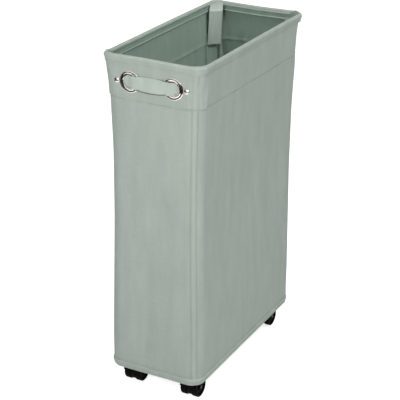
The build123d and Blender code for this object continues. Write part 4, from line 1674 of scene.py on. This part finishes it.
def photo_camera():
    """The camera at the photo's angle."""
    settings = bpy.context.scene.stage_settings
    far_end = 100
    azimuth, elevation = settings.azimuth, settings.elevation
    target = Vector(settings.target)
    back = Vector((sin(azimuth) * cos(elevation), -cos(azimuth) * cos(elevation), sin(elevation)))
    eye = bpy.data.cameras.new("photo_camera")
    eye.lens = settings.lens
    eye.clip_end = far_end
    camera = bpy.data.objects.new("photo_camera", eye)
    bpy.context.scene.collection.objects.link(camera)
    camera.matrix_world = look_at(target + back * settings.distance, target, settings.roll)
    bpy.context.scene.camera = camera


def make_stage():
    """Floor, sky, lamps, fence and camera."""
    bpy.context.scene.view_settings.view_transform = "Standard"
    studio_floor()
    studio_sky()
    studio_lamps()
    dark_fence()
    photo_camera()


class BIN_OT_wall_panels(bpy.types.Operator):
    """Make the four cloth walls"""

    bl_idname = "laundry_bin.wall_panels"
    bl_label = "Wall panels"
    bl_options = {"REGISTER", "UNDO"}

    def execute(self, context):
        make_wall_panels()
        return {"FINISHED"}


class BIN_OT_corner_strips(bpy.types.Operator):
    """Make the cloth strips round the corners"""

    bl_idname = "laundry_bin.corner_strips"
    bl_label = "Corner strips"
    bl_options = {"REGISTER", "UNDO"}

    def execute(self, context):
        make_corner_strips()
        return {"FINISHED"}


class BIN_OT_hem_facing(bpy.types.Operator):
    """Make the inner layer of the hem"""

    bl_idname = "laundry_bin.hem_facing"
    bl_label = "Hem facing"
    bl_options = {"REGISTER", "UNDO"}

    def execute(self, context):
        make_hem_facing()
        return {"FINISHED"}


class BIN_OT_rim_casing(bpy.types.Operator):
    """Make the cloth tunnel round the rim wire"""

    bl_idname = "laundry_bin.rim_casing"
    bl_label = "Rim casing"
    bl_options = {"REGISTER", "UNDO"}

    def execute(self, context):
        make_rim_casing()
        return {"FINISHED"}


class BIN_OT_base_cloth(bpy.types.Operator):
    """Make the bottom binding and the cloth under the floor"""

    bl_idname = "laundry_bin.base_cloth"
    bl_label = "Base cloth"
    bl_options = {"REGISTER", "UNDO"}

    def execute(self, context):
        make_base_cloth()
        return {"FINISHED"}


class BIN_OT_rod_pockets(bpy.types.Operator):
    """Make the pockets that hold the corner rods"""

    bl_idname = "laundry_bin.rod_pockets"
    bl_label = "Rod pockets"
    bl_options = {"REGISTER", "UNDO"}

    def execute(self, context):
        make_rod_pockets()
        return {"FINISHED"}


class BIN_OT_corner_tabs(bpy.types.Operator):
    """Make the tabs that wrap the rim at the corners"""

    bl_idname = "laundry_bin.corner_tabs"
    bl_label = "Corner tabs"
    bl_options = {"REGISTER", "UNDO"}

    def execute(self, context):
        make_corner_tabs()
        return {"FINISHED"}


class BIN_OT_hook_patches(bpy.types.Operator):
    """Make the hook tape that closes the tabs"""

    bl_idname = "laundry_bin.hook_patches"
    bl_label = "Hook patches"
    bl_options = {"REGISTER", "UNDO"}

    def execute(self, context):
        make_hook_patches()
        return {"FINISHED"}


class BIN_OT_handle(bpy.types.Operator):
    """Make the strap handle"""

    bl_idname = "laundry_bin.handle"
    bl_label = "Handle"
    bl_options = {"REGISTER", "UNDO"}

    def execute(self, context):
        make_handle()
        return {"FINISHED"}


class BIN_OT_eyelets(bpy.types.Operator):
    """Make the plated eyelets"""

    bl_idname = "laundry_bin.eyelets"
    bl_label = "Eyelets"
    bl_options = {"REGISTER", "UNDO"}

    def execute(self, context):
        make_eyelets()
        return {"FINISHED"}


class BIN_OT_rivets(bpy.types.Operator):
    """Make the dome rivets"""

    bl_idname = "laundry_bin.rivets"
    bl_label = "Rivets"
    bl_options = {"REGISTER", "UNDO"}

    def execute(self, context):
        make_rivets()
        return {"FINISHED"}


class BIN_OT_hub_webs(bpy.types.Operator):
    """Make the webs between the casters' wheels"""

    bl_idname = "laundry_bin.hub_webs"
    bl_label = "Hub webs"
    bl_options = {"REGISTER", "UNDO"}

    def execute(self, context):
        make_hub_webs()
        return {"FINISHED"}


class BIN_OT_stitching(bpy.types.Operator):
    """Make the rows of stitches"""

    bl_idname = "laundry_bin.stitching"
    bl_label = "Stitching"
    bl_options = {"REGISTER", "UNDO"}

    def execute(self, context):
        make_stitching()
        return {"FINISHED"}


class BIN_OT_frame_finishes(bpy.types.Operator):
    """Give the solid pieces of the frame their finishes"""

    bl_idname = "laundry_bin.frame_finishes"
    bl_label = "Frame finishes"
    bl_options = {"REGISTER", "UNDO"}

    def execute(self, context):
        dress_frame_nodes()
        return {"FINISHED"}


class BIN_OT_stage(bpy.types.Operator):
    """Make the floor, light and camera"""

    bl_idname = "laundry_bin.stage"
    bl_label = "Stage"
    bl_options = {"REGISTER", "UNDO"}

    def execute(self, context):
        make_stage()
        return {"FINISHED"}


OPERATORS = (
    BIN_OT_wall_panels,
    BIN_OT_corner_strips,
    BIN_OT_hem_facing,
    BIN_OT_rim_casing,
    BIN_OT_base_cloth,
    BIN_OT_rod_pockets,
    BIN_OT_corner_tabs,
    BIN_OT_hook_patches,
    BIN_OT_handle,
    BIN_OT_eyelets,
    BIN_OT_rivets,
    BIN_OT_hub_webs,
    BIN_OT_stitching,
    BIN_OT_frame_finishes,
    BIN_OT_stage,
)


class BIN_PT_pieces(bpy.types.Panel):
    """Lists the pieces of the bin in the sidebar"""

    bl_idname = "BIN_PT_pieces"
    bl_label = "Laundry bin"
    bl_space_type = "VIEW_3D"
    bl_region_type = "UI"
    bl_category = "Laundry bin"

    def draw(self, context):
        for operator in OPERATORS:
            self.layout.operator(operator.bl_idname)


SETTINGS = {
    "bag_sizes": BagSizes,
    "rim_sizes": RimSizes,
    "handle_sizes": HandleSizes,
    "stitch_sizes": StitchSizes,
    "cloth_looks": ClothLooks,
    "fitting_looks": FittingLooks,
    "stage_settings": StageSettings,
}


def register():
    """Register the settings, the operators and the panel."""
    for name, group in SETTINGS.items():
        bpy.utils.register_class(group)
        setattr(bpy.types.Scene, name, PointerProperty(type=group))
    for operator in OPERATORS:
        bpy.utils.register_class(operator)
    bpy.utils.register_class(BIN_PT_pieces)


def unregister():
    """Take back what register has added."""
    bpy.utils.unregister_class(BIN_PT_pieces)
    for operator in reversed(OPERATORS):
        bpy.utils.unregister_class(operator)
    for name, group in reversed(SETTINGS.items()):
        delattr(bpy.types.Scene, name)
        bpy.utils.unregister_class(group)


def main():
    """Make every piece and the stage."""
    register()
    for operator in OPERATORS:
        group, name = operator.bl_idname.split(".")
        getattr(getattr(bpy.ops, group), name)()


if __name__ == "__main__":
    main()
